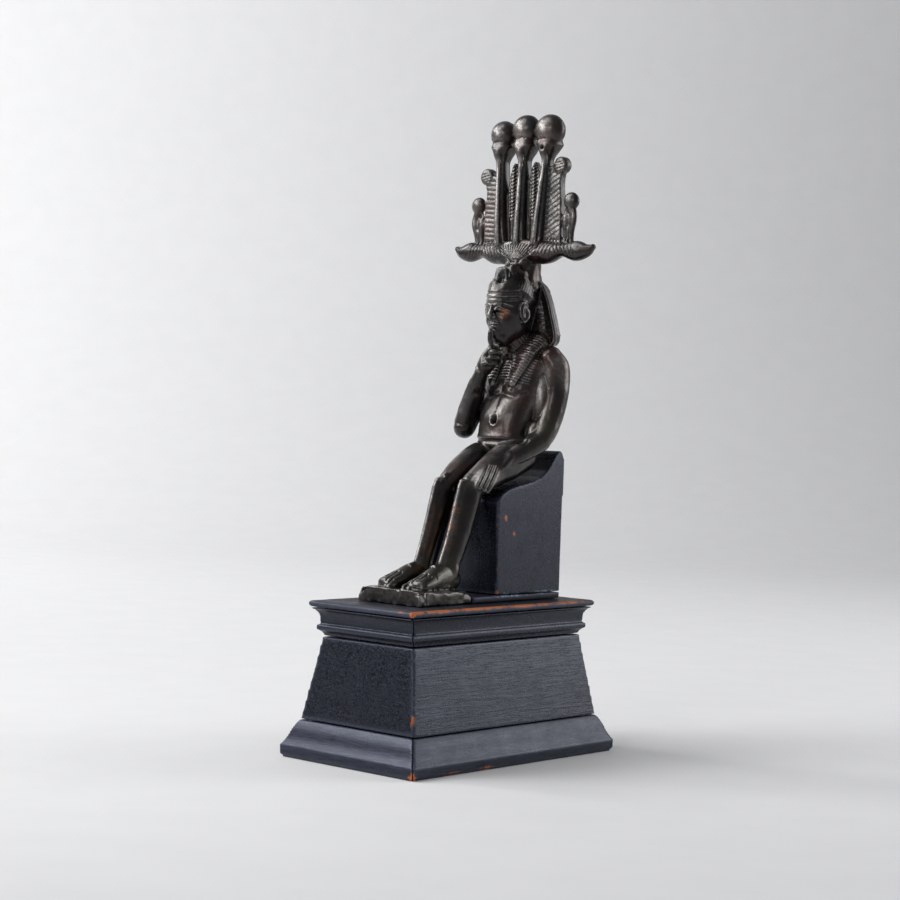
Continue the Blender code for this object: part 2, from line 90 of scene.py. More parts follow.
class Use(Enum):
    """What a black wood is used for."""

    BLOCK = "block"
    BOARD = "board"
    LONG = "long"
    CROSS = "cross"
    LONG_BASE = "long_base"
    CROSS_BASE = "cross_base"
    SEAT = "seat"


def linear(code: str) -> tuple[float, float, float, float]:
    """Turn an sRGB hex value into Blender's linear colour.

    Args:
        code: Six hex digits.

    Returns:
        Red, green, blue and alpha.
    """
    shares = [int(code[index:index + 2], 16) / 255 for index in (0, 2, 4)]
    values = [
        share / 12.92 if share <= 0.04045 else ((share + 0.055) / 1.055) ** 2.4
        for share in shares
    ]
    return (values[0], values[1], values[2], 1.0)


def add_node(
    tree: bpy.types.NodeTree,
    kind: str,
    fields: dict[str, object] | None = None,
    values: dict[int | str, object] | None = None,
    links: dict[int | str, bpy.types.NodeSocket] | None = None,
) -> bpy.types.Node:
    """Add a node, set its fields and inputs, and link its inputs.

    Args:
        tree: The tree that gets the node.
        kind: Blender's name of the node type.
        fields: Fields of the node by name.
        values: Input values by socket name or index.
        links: Output sockets that feed its inputs.

    Returns:
        The new node.
    """
    node = tree.nodes.new(kind)
    for name, value in (fields or {}).items():
        setattr(node, name, value)
    for key, value in (values or {}).items():
        node.inputs[key].default_value = value
    for key, socket in (links or {}).items():
        tree.links.new(socket, node.inputs[key])
    return node


def smooth_share(value: np.ndarray | float, low: float, high: float) -> np.ndarray:
    """Rise smoothly from 0 at low to 1 at high.

    Args:
        value: What is measured.
        low: Where the rise starts.
        high: Where it ends; it may be below low.

    Returns:
        The share, from 0 to 1.
    """
    share = np.clip((np.asarray(value, dtype=float) - low) / (high - low), 0.0, 1.0)
    return share * share * (3 - 2 * share)


def lumps(points: np.ndarray, pitch: float, seed: int) -> np.ndarray:
    """Give smooth random swelling between -1 and 1, about one lump to a pitch.

    Args:
        points: Places, one to a row.
        pitch: Size of a lump in the same measure.
        seed: A whole number that picks the pattern.

    Returns:
        One value for each place.
    """
    cells = points / pitch
    base = np.floor(cells).astype(np.int64)
    part = cells - base
    part = part * part * (3 - 2 * part)
    total = np.zeros(len(points))
    for corner in range(8):
        step = np.array([(corner >> axis) & 1 for axis in range(3)])
        key = base + step
        mixed = (key[:, 0] * 73856093) ^ (key[:, 1] * 19349663) ^ (key[:, 2] * 83492791) ^ (seed * 2654435761)
        mixed = (mixed ^ (mixed >> 13)) * 1274126177
        value = ((mixed ^ (mixed >> 16)) & 0xFFFF) / 32767.5 - 1
        total += value * np.prod(np.where(step, part, 1 - part), axis=1)
    return total


def mesh_arrays(mesh: bpy.types.Mesh) -> tuple[np.ndarray, np.ndarray]:
    """Read a mesh's places and normals.

    Args:
        mesh: The mesh.

    Returns:
        Places and vertex normals, one to a row.
    """
    count = len(mesh.vertices)
    places = np.empty(count * 3, dtype=np.float32)
    mesh.vertices.foreach_get("co", places)
    normals = np.empty(count * 3, dtype=np.float32)
    mesh.vertex_normals.foreach_get("vector", normals)
    return places.reshape(-1, 3).astype(float), normals.reshape(-1, 3).astype(float)


def mark(mesh: bpy.types.Mesh, name: str, values: np.ndarray) -> None:
    """Keep one number for each vertex under a name that a material reads.

    Args:
        mesh: The mesh.
        name: Name of the attribute.
        values: One value for each vertex.
    """
    layer = mesh.attributes.new(name, "FLOAT", "POINT")
    layer.data.foreach_set("value", np.ascontiguousarray(values, dtype=np.float32))


def to_mesh(bm: bmesh.types.BMesh, name: str) -> bpy.types.Mesh:
    """Turn an edited mesh into a finished one, and free it.

    Args:
        bm: The edited mesh.
        name: Name of the finished one.

    Returns:
        The finished mesh.
    """
    mesh = bpy.data.meshes.new(name)
    bm.to_mesh(mesh)
    bm.free()
    return mesh


def show(name: str, mesh: bpy.types.Mesh) -> bpy.types.Object:
    """Put a finished mesh in the scene at the origin.

    Args:
        name: Name of the piece.
        mesh: Its mesh.

    Returns:
        The object.
    """
    mesh.name = name
    item = bpy.data.objects.new(name, mesh)
    bpy.context.scene.collection.objects.link(item)
    return item


def settle(item: bpy.types.Object) -> bpy.types.Mesh:
    """Turn an object with live modifiers into a plain mesh and take them off.

    Args:
        item: The object.

    Returns:
        Its finished mesh, which the object now holds.
    """
    graph = bpy.context.evaluated_depsgraph_get()
    done = bpy.data.meshes.new_from_object(item.evaluated_get(graph))
    item.modifiers.clear()
    item.data = done
    return done


def hand_over(item: bpy.types.Object, slot: str, *nodes: str) -> None:
    """Let a finished piece stand for its CAD nodes.

    Args:
        item: The piece.
        slot: A material slot name; not used.
        nodes: The CAD nodes it replaces.
    """
    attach(item, "root")
    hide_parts(*nodes)
    LOG.info("%s: %d faces, stands for %s", item.name, len(item.data.polygons), ", ".join(nodes))


class Clay:
    """Closed solids in figure units, gathered before they are fused into one body."""

    def __init__(self) -> None:
        """Start with nothing."""
        self.bm = bmesh.new()

    @staticmethod
    def at(x: float, y: float, z: float) -> Vector:
        """Give a point of the figure its place in metres."""
        return Vector((x * UNIT, FIGURE_Y + y * UNIT, FIGURE_Z + z * UNIT))

    @staticmethod
    def between(rows: list[Row], steps: int) -> list[Row]:
        """Fill in stations along a smooth curve through the given ones.

        Args:
            rows: The stations.
            steps: New stations to each gap.

        Returns:
            All stations.
        """
        last = len(rows) - 1
        result = []
        for index in range(last):
            four = [rows[max(0, min(last, index + k))] for k in (-1, 0, 1, 2)]
            for step in range(steps):
                t = step / steps
                result.append(tuple(
                    0.5 * (2 * b + (c - a) * t + (2 * a - 5 * b + 4 * c - d) * t ** 2
                           + (3 * b - a - 3 * c + d) * t ** 3)
                    for a, b, c, d in zip(*four)
                ))
        result.append(tuple(rows[last]))
        return result

    def bridge(self, rings: list[list[bmesh.types.BMVert]]) -> None:
        """Skin a row of equal rings and close both ends.

        Args:
            rings: The rings, each with the same number of vertices.
        """
        for lower, upper in zip(rings, rings[1:]):
            count = len(lower)
            for index in range(count):
                after = (index + 1) % count
                self.bm.faces.new((lower[index], lower[after], upper[after], upper[index]))
        self.bm.faces.new(list(reversed(rings[0])))
        self.bm.faces.new(rings[-1])

    def section(self, centre: Vector, wide: Vector, across: Vector, size: tuple[float, float], sides: int,
                square: float, ridge: float) -> list[bmesh.types.BMVert]:
        """Add one superelliptic ring.

        Args:
            centre: Its centre in metres.
            wide: Direction of its half width.
            across: Direction of its half depth.
            size: Half width and half depth in figure units.
            sides: Number of points.
            square: 2 for an ellipse, more for flatter sides.
            ridge: How far its depth edge is drawn out, as a share.

        Returns:
            The ring's vertices.
        """
        ring = []
        for index in range(sides):
            angle = 2 * math.pi * index / sides
            cos, sin = math.cos(angle), math.sin(angle)
            x = math.copysign(abs(cos) ** (2 / square), cos) * size[0]
            y = math.copysign(abs(sin) ** (2 / square), sin) * size[1]
            y *= 1 + ridge * max(0.0, sin) ** 6
            ring.append(self.bm.verts.new(centre + (wide * x + across * y) * UNIT))
        return ring

    def limb(self, rows: list[Row], side: Point = (1, 0, 0), sides: int = 28, square: float = 2.0,
             ridge: float = 0.0, steps: int = 6) -> None:
        """Loft a round-ended limb through stations.

        Args:
            rows: Stations (x, y, z, half width, half depth).
            side: Direction of the half width.
            sides: Points round the limb.
            square: 2 for an ellipse, more for flatter sides.
            ridge: How far the front edge is drawn out, as a share.
            steps: Rings to each gap between stations.
        """
        flank = Vector(side)
        full = self.between(rows, steps)
        points = [self.at(*row[:3]) for row in full]
        rings = []
        for index, row in enumerate(full):
            along = (points[min(index + 1, len(full) - 1)] - points[max(index - 1, 0)]).normalized()
            across = along.cross(flank).normalized()
            wide = across.cross(along).normalized()
            dome = min(row[3], row[4]) * UNIT
            ends = []
            if index in (0, len(full) - 1):
                out = -along if index == 0 else along
                for angle in (25, 45, 65, 80):
                    shrink, push = math.cos(math.radians(angle)), math.sin(math.radians(angle)) * dome
                    size = (row[3] * shrink, row[4] * shrink)
                    spot = points[index] + out * push
                    ends.append(self.section(spot, wide, across, size, sides, square, ridge))
            if index == 0:
                rings.extend(reversed(ends))
            rings.append(self.section(points[index], wide, across, (row[3], row[4]), sides, square, ridge))
            if index == len(full) - 1:
                rings.extend(ends)
        self.bridge(rings)

    def ball(self, centre: Point, radii: Point, tilt: float = 0.0) -> None:
        """Add an ellipsoid.

        Args:
            centre: Its centre.
            radii: Its half sizes.
            tilt: Its turn about X in degrees.
        """
        matrix = (
            Matrix.Translation(self.at(*centre))
            @ Matrix.Rotation(math.radians(tilt), 4, "X")
            @ Matrix.Diagonal((radii[0] * UNIT, radii[1] * UNIT, radii[2] * UNIT, 1))
        )
        bmesh.ops.create_uvsphere(self.bm, u_segments=32, v_segments=20, radius=1.0, matrix=matrix)

    def sheet(self, outline: list[tuple[float, float]], front: float, back: float) -> None:
        """Add a flat plate.

        Args:
            outline: Its corners (x, z).
            front: Depth y of its first face.
            back: Depth y of its second face.
        """
        face = self.bm.faces.new([self.bm.verts.new(self.at(x, front, z)) for x, z in outline])
        grown = bmesh.ops.extrude_face_region(self.bm, geom=[face])
        moved = [item for item in grown["geom"] if isinstance(item, bmesh.types.BMVert)]
        bmesh.ops.translate(self.bm, verts=moved, vec=(0, (back - front) * UNIT, 0))

    def fuse(self, name: str, voxel: float, soften: int) -> bpy.types.Object:
        """Fuse all solids into one closed body.

        Args:
            name: Name of the body.
            voxel: Grid size in metres.
            soften: Passes of smoothing.

        Returns:
            The fused object.
        """
        bmesh.ops.recalc_face_normals(self.bm, faces=self.bm.faces)
        item = show(name, to_mesh(self.bm, name))
        remesh = item.modifiers.new("Fuse", "REMESH")
        remesh.mode = "VOXEL"
        remesh.voxel_size = voxel
        smooth = item.modifiers.new("Soften", "SMOOTH")
        smooth.factor = 0.5
        smooth.iterations = soften
        settle(item)
        return item


class Relief:
    """Carving in a fused body: a lift of each vertex along its normal, in figure units."""

    def __init__(self, mesh: bpy.types.Mesh) -> None:
        """Read the mesh's places and normals.

        Args:
            mesh: The fused mesh.
        """
        self.mesh = mesh
        self.places, self.normals = mesh_arrays(mesh)
        self.points = (self.places - np.array([0.0, FIGURE_Y, FIGURE_Z])) / UNIT
        self.lift = np.zeros(len(self.points))

    def inside(self, low: Point, high: Point) -> np.ndarray:
        """Pick the vertices inside a box."""
        return np.flatnonzero(np.all((self.points >= low) & (self.points <= high), axis=1))

    def facing(self, picks: np.ndarray, way: Point | None, low: float = 0.1, high: float = 0.5) -> np.ndarray:
        """Weigh vertices by how far they face a direction.

        Args:
            picks: The vertices.
            way: The direction, or None for all.
            low: Cosine where the weight starts.
            high: Cosine where it is full.

        Returns:
            A weight from 0 to 1 for each picked vertex.
        """
        if way is None:
            return np.ones(len(picks))
        unit = np.array(way) / np.linalg.norm(way)
        return smooth_share(self.normals[picks] @ unit, low, high)

    @staticmethod
    def along(points: np.ndarray, path: list[Point], axes: tuple[int, ...]) -> tuple[np.ndarray, np.ndarray]:
        """Measure points against a path.

        Args:
            points: The points.
            path: Corners of the path.
            axes: The axes that count.

        Returns:
            Distance from the path, and length along it to the nearest place.
        """
        flat = points[:, axes]
        best = np.full(len(points), 1e9)
        length = np.zeros(len(points))
        run = 0.0
        for start, end in zip(path, path[1:]):
            a = np.array(start)[list(axes)]
            line = np.array(end)[list(axes)] - a
            size = float(np.linalg.norm(line)) or 1e-9
            t = np.clip((flat - a) @ line / size ** 2, 0, 1)
            distance = np.linalg.norm(flat - a - t[:, None] * line, axis=1)
            closer = distance < best
            best = np.where(closer, distance, best)
            length = np.where(closer, run + t * size, length)
            run += size
        return best, length

    def stroke(self, path: list[Point], width: float, height: float, cut: Cut = Cut.ROUND,
               way: Point | None = None, axes: tuple[int, ...] = (0, 1, 2), reach: float = 0.5) -> None:
        """Cut a groove, or raise a ridge, along a path.

        Args:
            path: Corners of the path.
            width: Half width of the stroke.
            height: Lift at its middle; below 0 for a groove.
            cut: Section of the stroke.
            way: Direction its ground must face, if any.
            axes: The axes in which distance counts.
            reach: How far off the path the box is along the other axes.
        """
        corners = np.array(path)
        margin = np.array([2.5 * width if axis in axes else reach for axis in range(3)])
        picks = self.inside(tuple(corners.min(axis=0) - margin), tuple(corners.max(axis=0) + margin))
        if not len(picks):
            return
        distance, _ = self.along(self.points[picks], path, axes)
        share = distance / width
        profile = np.exp(-share ** 2) if cut is Cut.ROUND else np.clip(1 - share, 0, 1)
        self.lift[picks] += height * profile * self.facing(picks, way)

    def dent(self, centre: Point, radii: Point, height: float, way: Point | None = None) -> None:
        """Press in, or swell, a rounded spot.

        Args:
            centre: Its centre.
            radii: Its half sizes.
            height: Lift at its middle; below 0 to press in.
            way: Direction its ground must face, if any.
        """
        margin = np.array(radii) * 2.2
        picks = self.inside(tuple(np.array(centre) - margin), tuple(np.array(centre) + margin))
        if len(picks):
            share = np.linalg.norm((self.points[picks] - centre) / np.array(radii), axis=1)
            self.lift[picks] += height * np.exp(-share ** 2) * self.facing(picks, way)

    def ribs(self, path: list[Point], reach: float, pitch: float, height: float, skew: Point = (0, 0, 0),
             way: Point | None = None, sharp: float = 1.0) -> None:
        """Raise even ribs across a path.

        Args:
            path: Middle line that the ribs cross.
            reach: How far off the path they go.
            pitch: Distance from rib to rib.
            height: Half the rise of a rib.
            skew: Slant of the ribs: how each axis shifts them along.
            way: Direction their ground must face, if any.
            sharp: 1 for round ribs, below 1 for narrow grooves between broad ribs.
        """
        corners = np.array(path)
        picks = self.inside(tuple(corners.min(axis=0) - reach), tuple(corners.max(axis=0) + reach))
        points = self.points[picks]
        distance, length = self.along(points, path, (0, 1, 2))
        middle = corners.mean(axis=0)
        phase = (length + (points - middle) @ np.array(skew)) / pitch
        wave = np.abs(np.cos(math.pi * phase)) ** sharp * 2 - 1
        total = float(np.linalg.norm(np.diff(corners, axis=0), axis=1).sum())
        ends = smooth_share(length, 0.0, 0.4 * pitch) * smooth_share(length, total, total - 0.4 * pitch)
        rise = height * wave * smooth_share(distance, reach, 0.8 * reach)
        self.lift[picks] += rise * ends * self.facing(picks, way)

    def press(self) -> None:
        """Move the vertices by the lift and read the normals again."""
        self.places = self.places + self.normals * (self.lift * UNIT)[:, None]
        self.mesh.vertices.foreach_set("co", self.places.astype(np.float32).ravel())
        self.mesh.update()
        self.places, self.normals = mesh_arrays(self.mesh)
        self.points = (self.places - np.array([0.0, FIGURE_Y, FIGURE_Z])) / UNIT
        self.lift = np.zeros(len(self.points))

    def hollows(self, passes: int) -> np.ndarray:
        """Tell hollow places from proud ones.

        Args:
            passes: Rounds of averaging, which set the width that counts.

        Returns:
            Height below the smoothed surface in figure units, above 0 in a hollow.
        """
        count = len(self.mesh.edges)
        ends = np.empty(count * 2, dtype=np.int32)
        self.mesh.edges.foreach_get("vertices", ends)
        first, second = ends.reshape(-1, 2).T
        total = len(self.points)
        degree = np.bincount(first, minlength=total) + np.bincount(second, minlength=total)
        smooth = self.points.copy()
        for _ in range(passes):
            for axis in range(3):
                values = smooth[:, axis]
                gathered = (
                    np.bincount(first, values[second], total)
                    + np.bincount(second, values[first], total)
                )
                smooth[:, axis] = 0.5 * values + 0.5 * gathered / np.maximum(degree, 1)
        return np.sum((smooth - self.points) * self.normals, axis=1)


@dataclass
class Legs:
    """Foot block, feet, shins and thighs."""

    block_front: float = -3.55
    block_back: float = -0.78
    block_half_width: float = 1.50
    block_front_height: float = 0.53
    block_back_height: float = 0.41
    toes: int = 5
    shin: tuple[Row, ...] = (
        (0.75, -0.22, 3.98, 0.45, 0.46),
        (0.75, -0.34, 3.55, 0.42, 0.46),
        (0.74, -0.54, 2.90, 0.40, 0.46),
        (0.72, -0.86, 2.00, 0.35, 0.42),
        (0.69, -1.12, 1.40, 0.33, 0.40),
        (0.67, -1.24, 0.95, 0.37, 0.46),
    )
    foot: tuple[Row, ...] = (
        (0.66, -0.92, 0.78, 0.30, 0.36),
        (0.67, -1.30, 0.90, 0.36, 0.52),
        (0.69, -1.85, 0.85, 0.40, 0.46),
        (0.72, -2.45, 0.72, 0.47, 0.33),
        (0.74, -2.85, 0.65, 0.48, 0.24),
    )
    thigh: tuple[Row, ...] = (
        (0.74, -0.22, 4.02, 0.46, 0.40),
        (0.77, 0.15, 4.30, 0.52, 0.46),
        (0.80, 0.85, 4.72, 0.60, 0.58),
        (0.80, 1.60, 5.05, 0.66, 0.68),
        (0.72, 2.50, 5.40, 0.70, 0.72),
    )

    @staticmethod
    def stand(side: int, x: float, y: float, z: float) -> Point:
        """Place a point of a leg: the right leg stands a little nearer the middle than the left.

        Args:
            side: 1 for the statuette's left leg, -1 for its right.
            x: Distance from the middle on the left leg.
            y: Depth.
            z: Height.

        Returns:
            The point.
        """
        if side > 0:
            return (x, y, z)
        inward = np.interp(z, (0.9, 1.4, 4.4, 5.4), (0.15, 0.20, 0.20, 0.12))
        share = np.interp(y, (-2.5, -1.3), (0.2, 1.0))
        return (float(inward * share) - x, y, z)

    @staticmethod
    def toe_tip(toe: int) -> tuple[float, float]:
        """Tell how far a toe's tip is from the middle, and its depth."""
        return 0.36 + 0.185 * toe, -3.22 + 0.05 * toe ** 1.9

    def model(self, clay: Clay) -> None:
        """Model the block and both legs in the rough.

        Args:
            clay: Where the solids are gathered.
        """
        wide = self.block_half_width
        rings = []
        for y, top in ((self.block_front, self.block_front_height),
                       (self.block_back, self.block_back_height)):
            corners = ((-wide, 0), (wide, 0), (wide, top), (-wide, top))
            rings.append([clay.bm.verts.new(clay.at(x, y, z)) for x, z in corners])
        clay.bridge(rings)
        for side in (-1, 1):
            slim = 1.0 if side > 0 else 0.88
            clay.limb([(*self.stand(side, x, y, z), a, b) for x, y, z, a, b in self.shin], ridge=0.2)
            clay.limb([(*self.stand(side, x, y, z), a, b) for x, y, z, a, b in self.foot])
            clay.limb([(*self.stand(side, x, y, z), slim * a, slim * b) for x, y, z, a, b in self.thigh],
                      square=2.3)
            for toe in range(self.toes):
                x, front = self.toe_tip(toe)
                thick = 0.135 - 0.012 * toe
                rows = [(side * x, -2.6, 0.68, thick, thick),
                        (side * x, front + 0.1, 0.58, 0.9 * thick, 0.9 * thick)]
                clay.limb(rows, sides=14, steps=2)

    def carve(self, relief: Relief) -> None:
        """Cut the crisp shin ridges, the knees, the toes and the worn foot block.

        Args:
            relief: The carving of the fused casting.
        """
        for side in (-1, 1):
            ridge = [self.stand(side, *point) for point in (
                (0.72, -0.55, 4.15), (0.72, -0.84, 3.5), (0.70, -1.05, 2.9), (0.68, -1.33, 2.0),
                (0.66, -1.56, 1.3))]
            relief.stroke(ridge, 0.15, 0.09, Cut.VEE, way=(0, -1, 0), axes=(0,), reach=0.45)
            cap = [(side * 0.42, -0.55, 4.30), (side * 0.74, -0.62, 4.36), (side * 1.05, -0.45, 4.28)]
            relief.stroke(cap, 0.10, 0.05, Cut.VEE, way=(0, -1, 0.7), reach=0.3)
            edge = [(side * 0.42, -0.50, 4.30), (side * 0.40, 0.6, 4.95), (side * 0.42, 1.5, 5.45)]
            relief.stroke(edge, 0.12, 0.04, Cut.VEE, way=(-side * 0.4, -0.3, 1), reach=0.3)
            relief.stroke([(side * 0.66, -1.66, 1.25), (side * 0.67, -2.1, 1.15)], 0.12, 0.03, way=(0, -1, 1))
            for toe in range(self.toes):
                x, front = self.toe_tip(toe)
                x *= side
                if toe:
                    groove = [(x - side * 0.0925, -2.45, 0.9), (x - side * 0.0925, front, 0.6)]
                    relief.stroke(groove, 0.035, -0.07, way=(0, -0.3, 1), axes=(0, 1))
                relief.dent((x, front + 0.02, 0.70 - 0.01 * toe), (0.07, 0.07, 0.08), -0.03, way=(0, -0.4, 1))
                relief.stroke([(x - 0.07, front + 0.26, 0.75), (x + 0.07, front + 0.26, 0.75)], 0.03, -0.02,
                              way=(0, 0, 1), axes=(0, 1))
            ankle = (side * 0.98, -1.05, 1.15)
            relief.dent(ankle, (0.2, 0.2, 0.2), 0.05, way=(side, 0, 0))
        low, high = (-1.7, self.block_front - 0.3, -0.1), (1.7, self.block_back + 0.3, 0.62)
        block = relief.inside(low, high)
        coarse = 0.028 * lumps(relief.points[block], 0.42, 21)
        fine = 0.018 * lumps(relief.points[block], 0.16, 22)
        relief.lift[block] += coarse + fine
        relief.stroke([(1.5, -3.18, 0.6), (1.5, -3.14, 0.0)], 0.035, -0.10, Cut.VEE, way=(1, 0, 0), axes=(1,))
        relief.stroke([(1.30, -3.6, 0.52), (1.42, -3.2, 0.50), (1.45, -2.0, 0.47)], 0.10, -0.05,
                      way=(0.3, 0, 1))
        relief.dent((-1.5, self.block_front, 0.53), (0.28, 0.3, 0.22), -0.16)
        relief.dent((1.5, self.block_front, 0.53), (0.20, 0.2, 0.16), -0.10)
        relief.dent((1.5, self.block_back, 0.42), (0.20, 0.3, 0.16), -0.14)


@dataclass
class Trunk:
    """Pelvis, belly, chest, neck and both arms."""

    body: tuple[Row, ...] = (
        (0, 2.35, 5.50, 1.20, 0.70),
        (0, 2.35, 6.05, 1.02, 0.68),
        (0, 2.52, 6.65, 1.10, 0.72),
        (0, 2.80, 7.40, 1.22, 0.68),
        (0, 3.02, 8.20, 1.30, 0.64),
        (0, 3.20, 8.85, 1.42, 0.58),
        (0, 3.15, 9.25, 1.00, 0.46),
    )
    resting_upper: tuple[Row, ...] = (
        (1.40, 3.34, 9.00, 0.44, 0.46),
        (1.56, 3.46, 8.60, 0.52, 0.52),
        (1.60, 3.49, 7.90, 0.49, 0.50),
        (1.58, 3.34, 7.10, 0.47, 0.47),
        (1.55, 3.04, 6.35, 0.46, 0.44),
        (1.52, 2.72, 5.92, 0.42, 0.42),
    )
    resting_lower: tuple[Row, ...] = (
        (1.53, 2.75, 5.92, 0.40, 0.42),
        (1.42, 2.10, 5.56, 0.36, 0.38),
        (1.25, 1.40, 5.22, 0.31, 0.31),
        (1.12, 0.95, 5.00, 0.26, 0.25),
    )
    fingers: tuple[tuple[Point, Point, Point], ...] = (
        ((1.03, 0.26, 4.84), (1.10, -0.09, 4.51), (1.15, -0.35, 4.20)),
        ((1.12, 0.39, 4.91), (1.20, 0.05, 4.52), (1.24, -0.28, 4.13)),
        ((1.22, 0.51, 4.89), (1.29, 0.21, 4.48), (1.31, -0.10, 4.06)),
        ((1.31, 0.64, 4.82), (1.37, 0.35, 4.40), (1.34, 0.06, 4.01)),
    )
    raised_upper: tuple[Row, ...] = (
        (-1.42, 3.30, 9.00, 0.42, 0.46),
        (-1.60, 3.35, 8.55, 0.48, 0.50),
        (-1.70, 3.05, 7.80, 0.46, 0.47),
        (-1.75, 2.62, 7.05, 0.45, 0.45),
        (-1.75, 2.16, 6.30, 0.43, 0.43),
    )
    raised_lower: tuple[Row, ...] = (
        (-1.75, 2.20, 6.45, 0.43, 0.44),
        (-1.38, 2.02, 7.15, 0.38, 0.40),
        (-0.98, 1.85, 7.80, 0.32, 0.33),
        (-0.55, 1.70, 8.42, 0.26, 0.25),
    )

    def model(self, clay: Clay) -> None:
        """Model the trunk and arms in the rough.

        Args:
            clay: Where the solids are gathered.
        """
        clay.ball((0, 2.45, 5.42), (1.40, 0.80, 0.66), tilt=-15)
        clay.limb(list(self.body), square=2.3)
        clay.limb([(0, 3.15, 9.0, 0.62, 0.6), (0, 2.85, 9.9, 0.60, 0.6)])
        for side in (-1, 1):
            clay.ball((side * 1.12, 3.02, 7.20), (0.50, 0.30, 1.30))
        clay.limb(list(self.resting_upper))
        clay.limb(list(self.resting_lower))
        clay.ball((1.22, 2.72, 6.02), (0.42, 0.32, 0.60))
        self.flat_hand(clay)
        clay.limb(list(self.raised_upper))
        clay.limb(list(self.raised_lower), side=(0, 1, 0))
        self.fist(clay)

    def flat_hand(self, clay: Clay) -> None:
        """Model the left hand, flat on the thigh: palm, four fingers and a thumb.

        Args:
            clay: Where the solids are gathered.
        """
        clay.limb([(1.28, 1.30, 5.30, 0.26, 0.20), (1.20, 0.90, 5.02, 0.30, 0.14),
                   (1.12, 0.58, 4.84, 0.31, 0.13)],
                  side=(1, 0, -0.45), square=2.6)
        for knuckle, middle, tip in self.fingers:
            rows = [(*point, wide, wide) for point, wide in ((knuckle, 0.095), (middle, 0.090), (tip, 0.080))]
            clay.limb(rows, sides=16, steps=4)
        clay.limb([(0.96, 1.00, 5.02, 0.10, 0.10), (0.84, 0.62, 4.94, 0.09, 0.08)], sides=14, steps=2)

    def fist(self, clay: Clay) -> None:
        """Model the right hand: wrist, curled fingers, thumb and the raised forefinger.

        Args:
            clay: Where the solids are gathered.
        """
        clay.limb([(-0.62, 1.72, 8.36, 0.27, 0.27), (-0.40, 1.74, 8.68, 0.33, 0.34),
                   (-0.12, 1.78, 9.08, 0.34, 0.36)],
                  side=(0, 1, 0))
        for finger in range(3):
            z = 8.72 + 0.20 * finger
            x = -0.28 + 0.13 * finger
            rows = [(x, 1.44, z, 0.11, 0.11), (x + 0.22, 1.50, z + 0.02, 0.11, 0.11),
                    (x + 0.30, 1.78, z, 0.10, 0.10)]
            clay.limb(rows, side=(0, 0, 1), sides=14, steps=4)
        clay.limb([(-0.10, 2.12, 8.72, 0.10, 0.12), (0.10, 2.02, 9.02, 0.10, 0.12),
                   (0.10, 1.82, 9.36, 0.09, 0.09)],
                  side=(0, 1, 0), sides=14)
        clay.limb([(-0.06, 1.62, 9.22, 0.13, 0.13), (-0.02, 1.50, 9.55, 0.11, 0.12),
                   (0.02, 1.44, 9.90, 0.09, 0.10)],
                  sides=14)

    def carve(self, relief: Relief) -> None:
        """Cut the navel, the waist, the breast, the fingers and the fist.

        Args:
            relief: The carving of the fused casting.
        """
        front = (0, -1, 0)
        relief.dent((0.05, 1.80, 6.61), (0.105, 0.3, 0.12), -0.26, way=front)
        ring = [(0.05 + 0.19 * math.cos(a), 1.8, 6.63 + 0.21 * math.sin(a))
                for a in (math.radians(30 * turn) for turn in range(13))]
        relief.stroke(ring, 0.07, 0.035, way=front, axes=(0, 2))
        relief.dent((0.22, 1.9, 6.95), (0.35, 0.6, 0.35), 0.05, way=front)
        relief.stroke([(-1.0, 2.0, 5.84), (0.0, 1.8, 5.80), (1.0, 2.4, 5.88)], 0.045, -0.05, way=(0, -1, 0.2),
                      axes=(2,), reach=0.6)
        relief.stroke([(-0.9, 2.0, 5.98), (0.0, 1.8, 5.94), (0.9, 2.4, 6.02)], 0.07, 0.015, way=(0, -1, 0.2),
                      axes=(2,), reach=0.6)
        relief.dent((0.0, 1.35, 5.46), (0.12, 0.4, 0.13), -0.16, way=(0, -1, 1))
        relief.stroke([(0, 1.9, 7.2), (0, 2.6, 8.6)], 0.10, -0.035, way=front, axes=(0,), reach=0.5)
        for side in (-1, 1):
            relief.dent((side * 0.62, 2.3, 7.95), (0.42, 0.6, 0.34), 0.07, way=front)
            breast = [(side * 0.15, 2.2, 7.60), (side * 0.6, 2.2, 7.50), (side * 1.0, 2.4, 7.66)]
            relief.stroke(breast, 0.09, -0.04, way=front, axes=(0, 2), reach=0.6)
            relief.stroke([(side * 0.1, 2.7, 9.0), (side * 1.1, 2.9, 9.15)], 0.08, 0.03, way=front,
                          axes=(0, 2))
        for one, other in zip(self.fingers, self.fingers[1:]):
            path = [tuple((a + b) / 2 + shift for a, b, shift in zip(p, q, (0.05, 0.0, 0.06)))
                    for p, q in zip(one, other)]
            relief.stroke(path, 0.040, -0.07, Cut.VEE)
        relief.dent((-0.16, 1.52, 9.12), (0.17, 0.26, 0.26), -0.22)
        relief.dent((0.12, 1.90, 9.14), (0.10, 0.16, 0.24), -0.14)
        relief.stroke([(-0.4, 1.98, 8.53), (-0.3, 2.2, 8.41), (-0.1, 2.36, 8.55)], 0.06, 0.05)
        relief.stroke([(0.1, 1.75, 9.42), (0.12, 1.9, 9.0), (0.1, 2.15, 8.63)], 0.06, 0.06)
        relief.stroke([(-0.66, 1.46, 8.56), (-0.46, 1.44, 8.38)], 0.05, 0.05)
        for a, b in (((-1.72, 1.80, 6.95), (-0.98, 1.54, 8.1)), ((-1.60, 1.74, 6.9), (-1.1, 1.6, 7.7))):
            relief.stroke([a, b], 0.07, 0.03, Cut.VEE, way=(0, -1, 0))


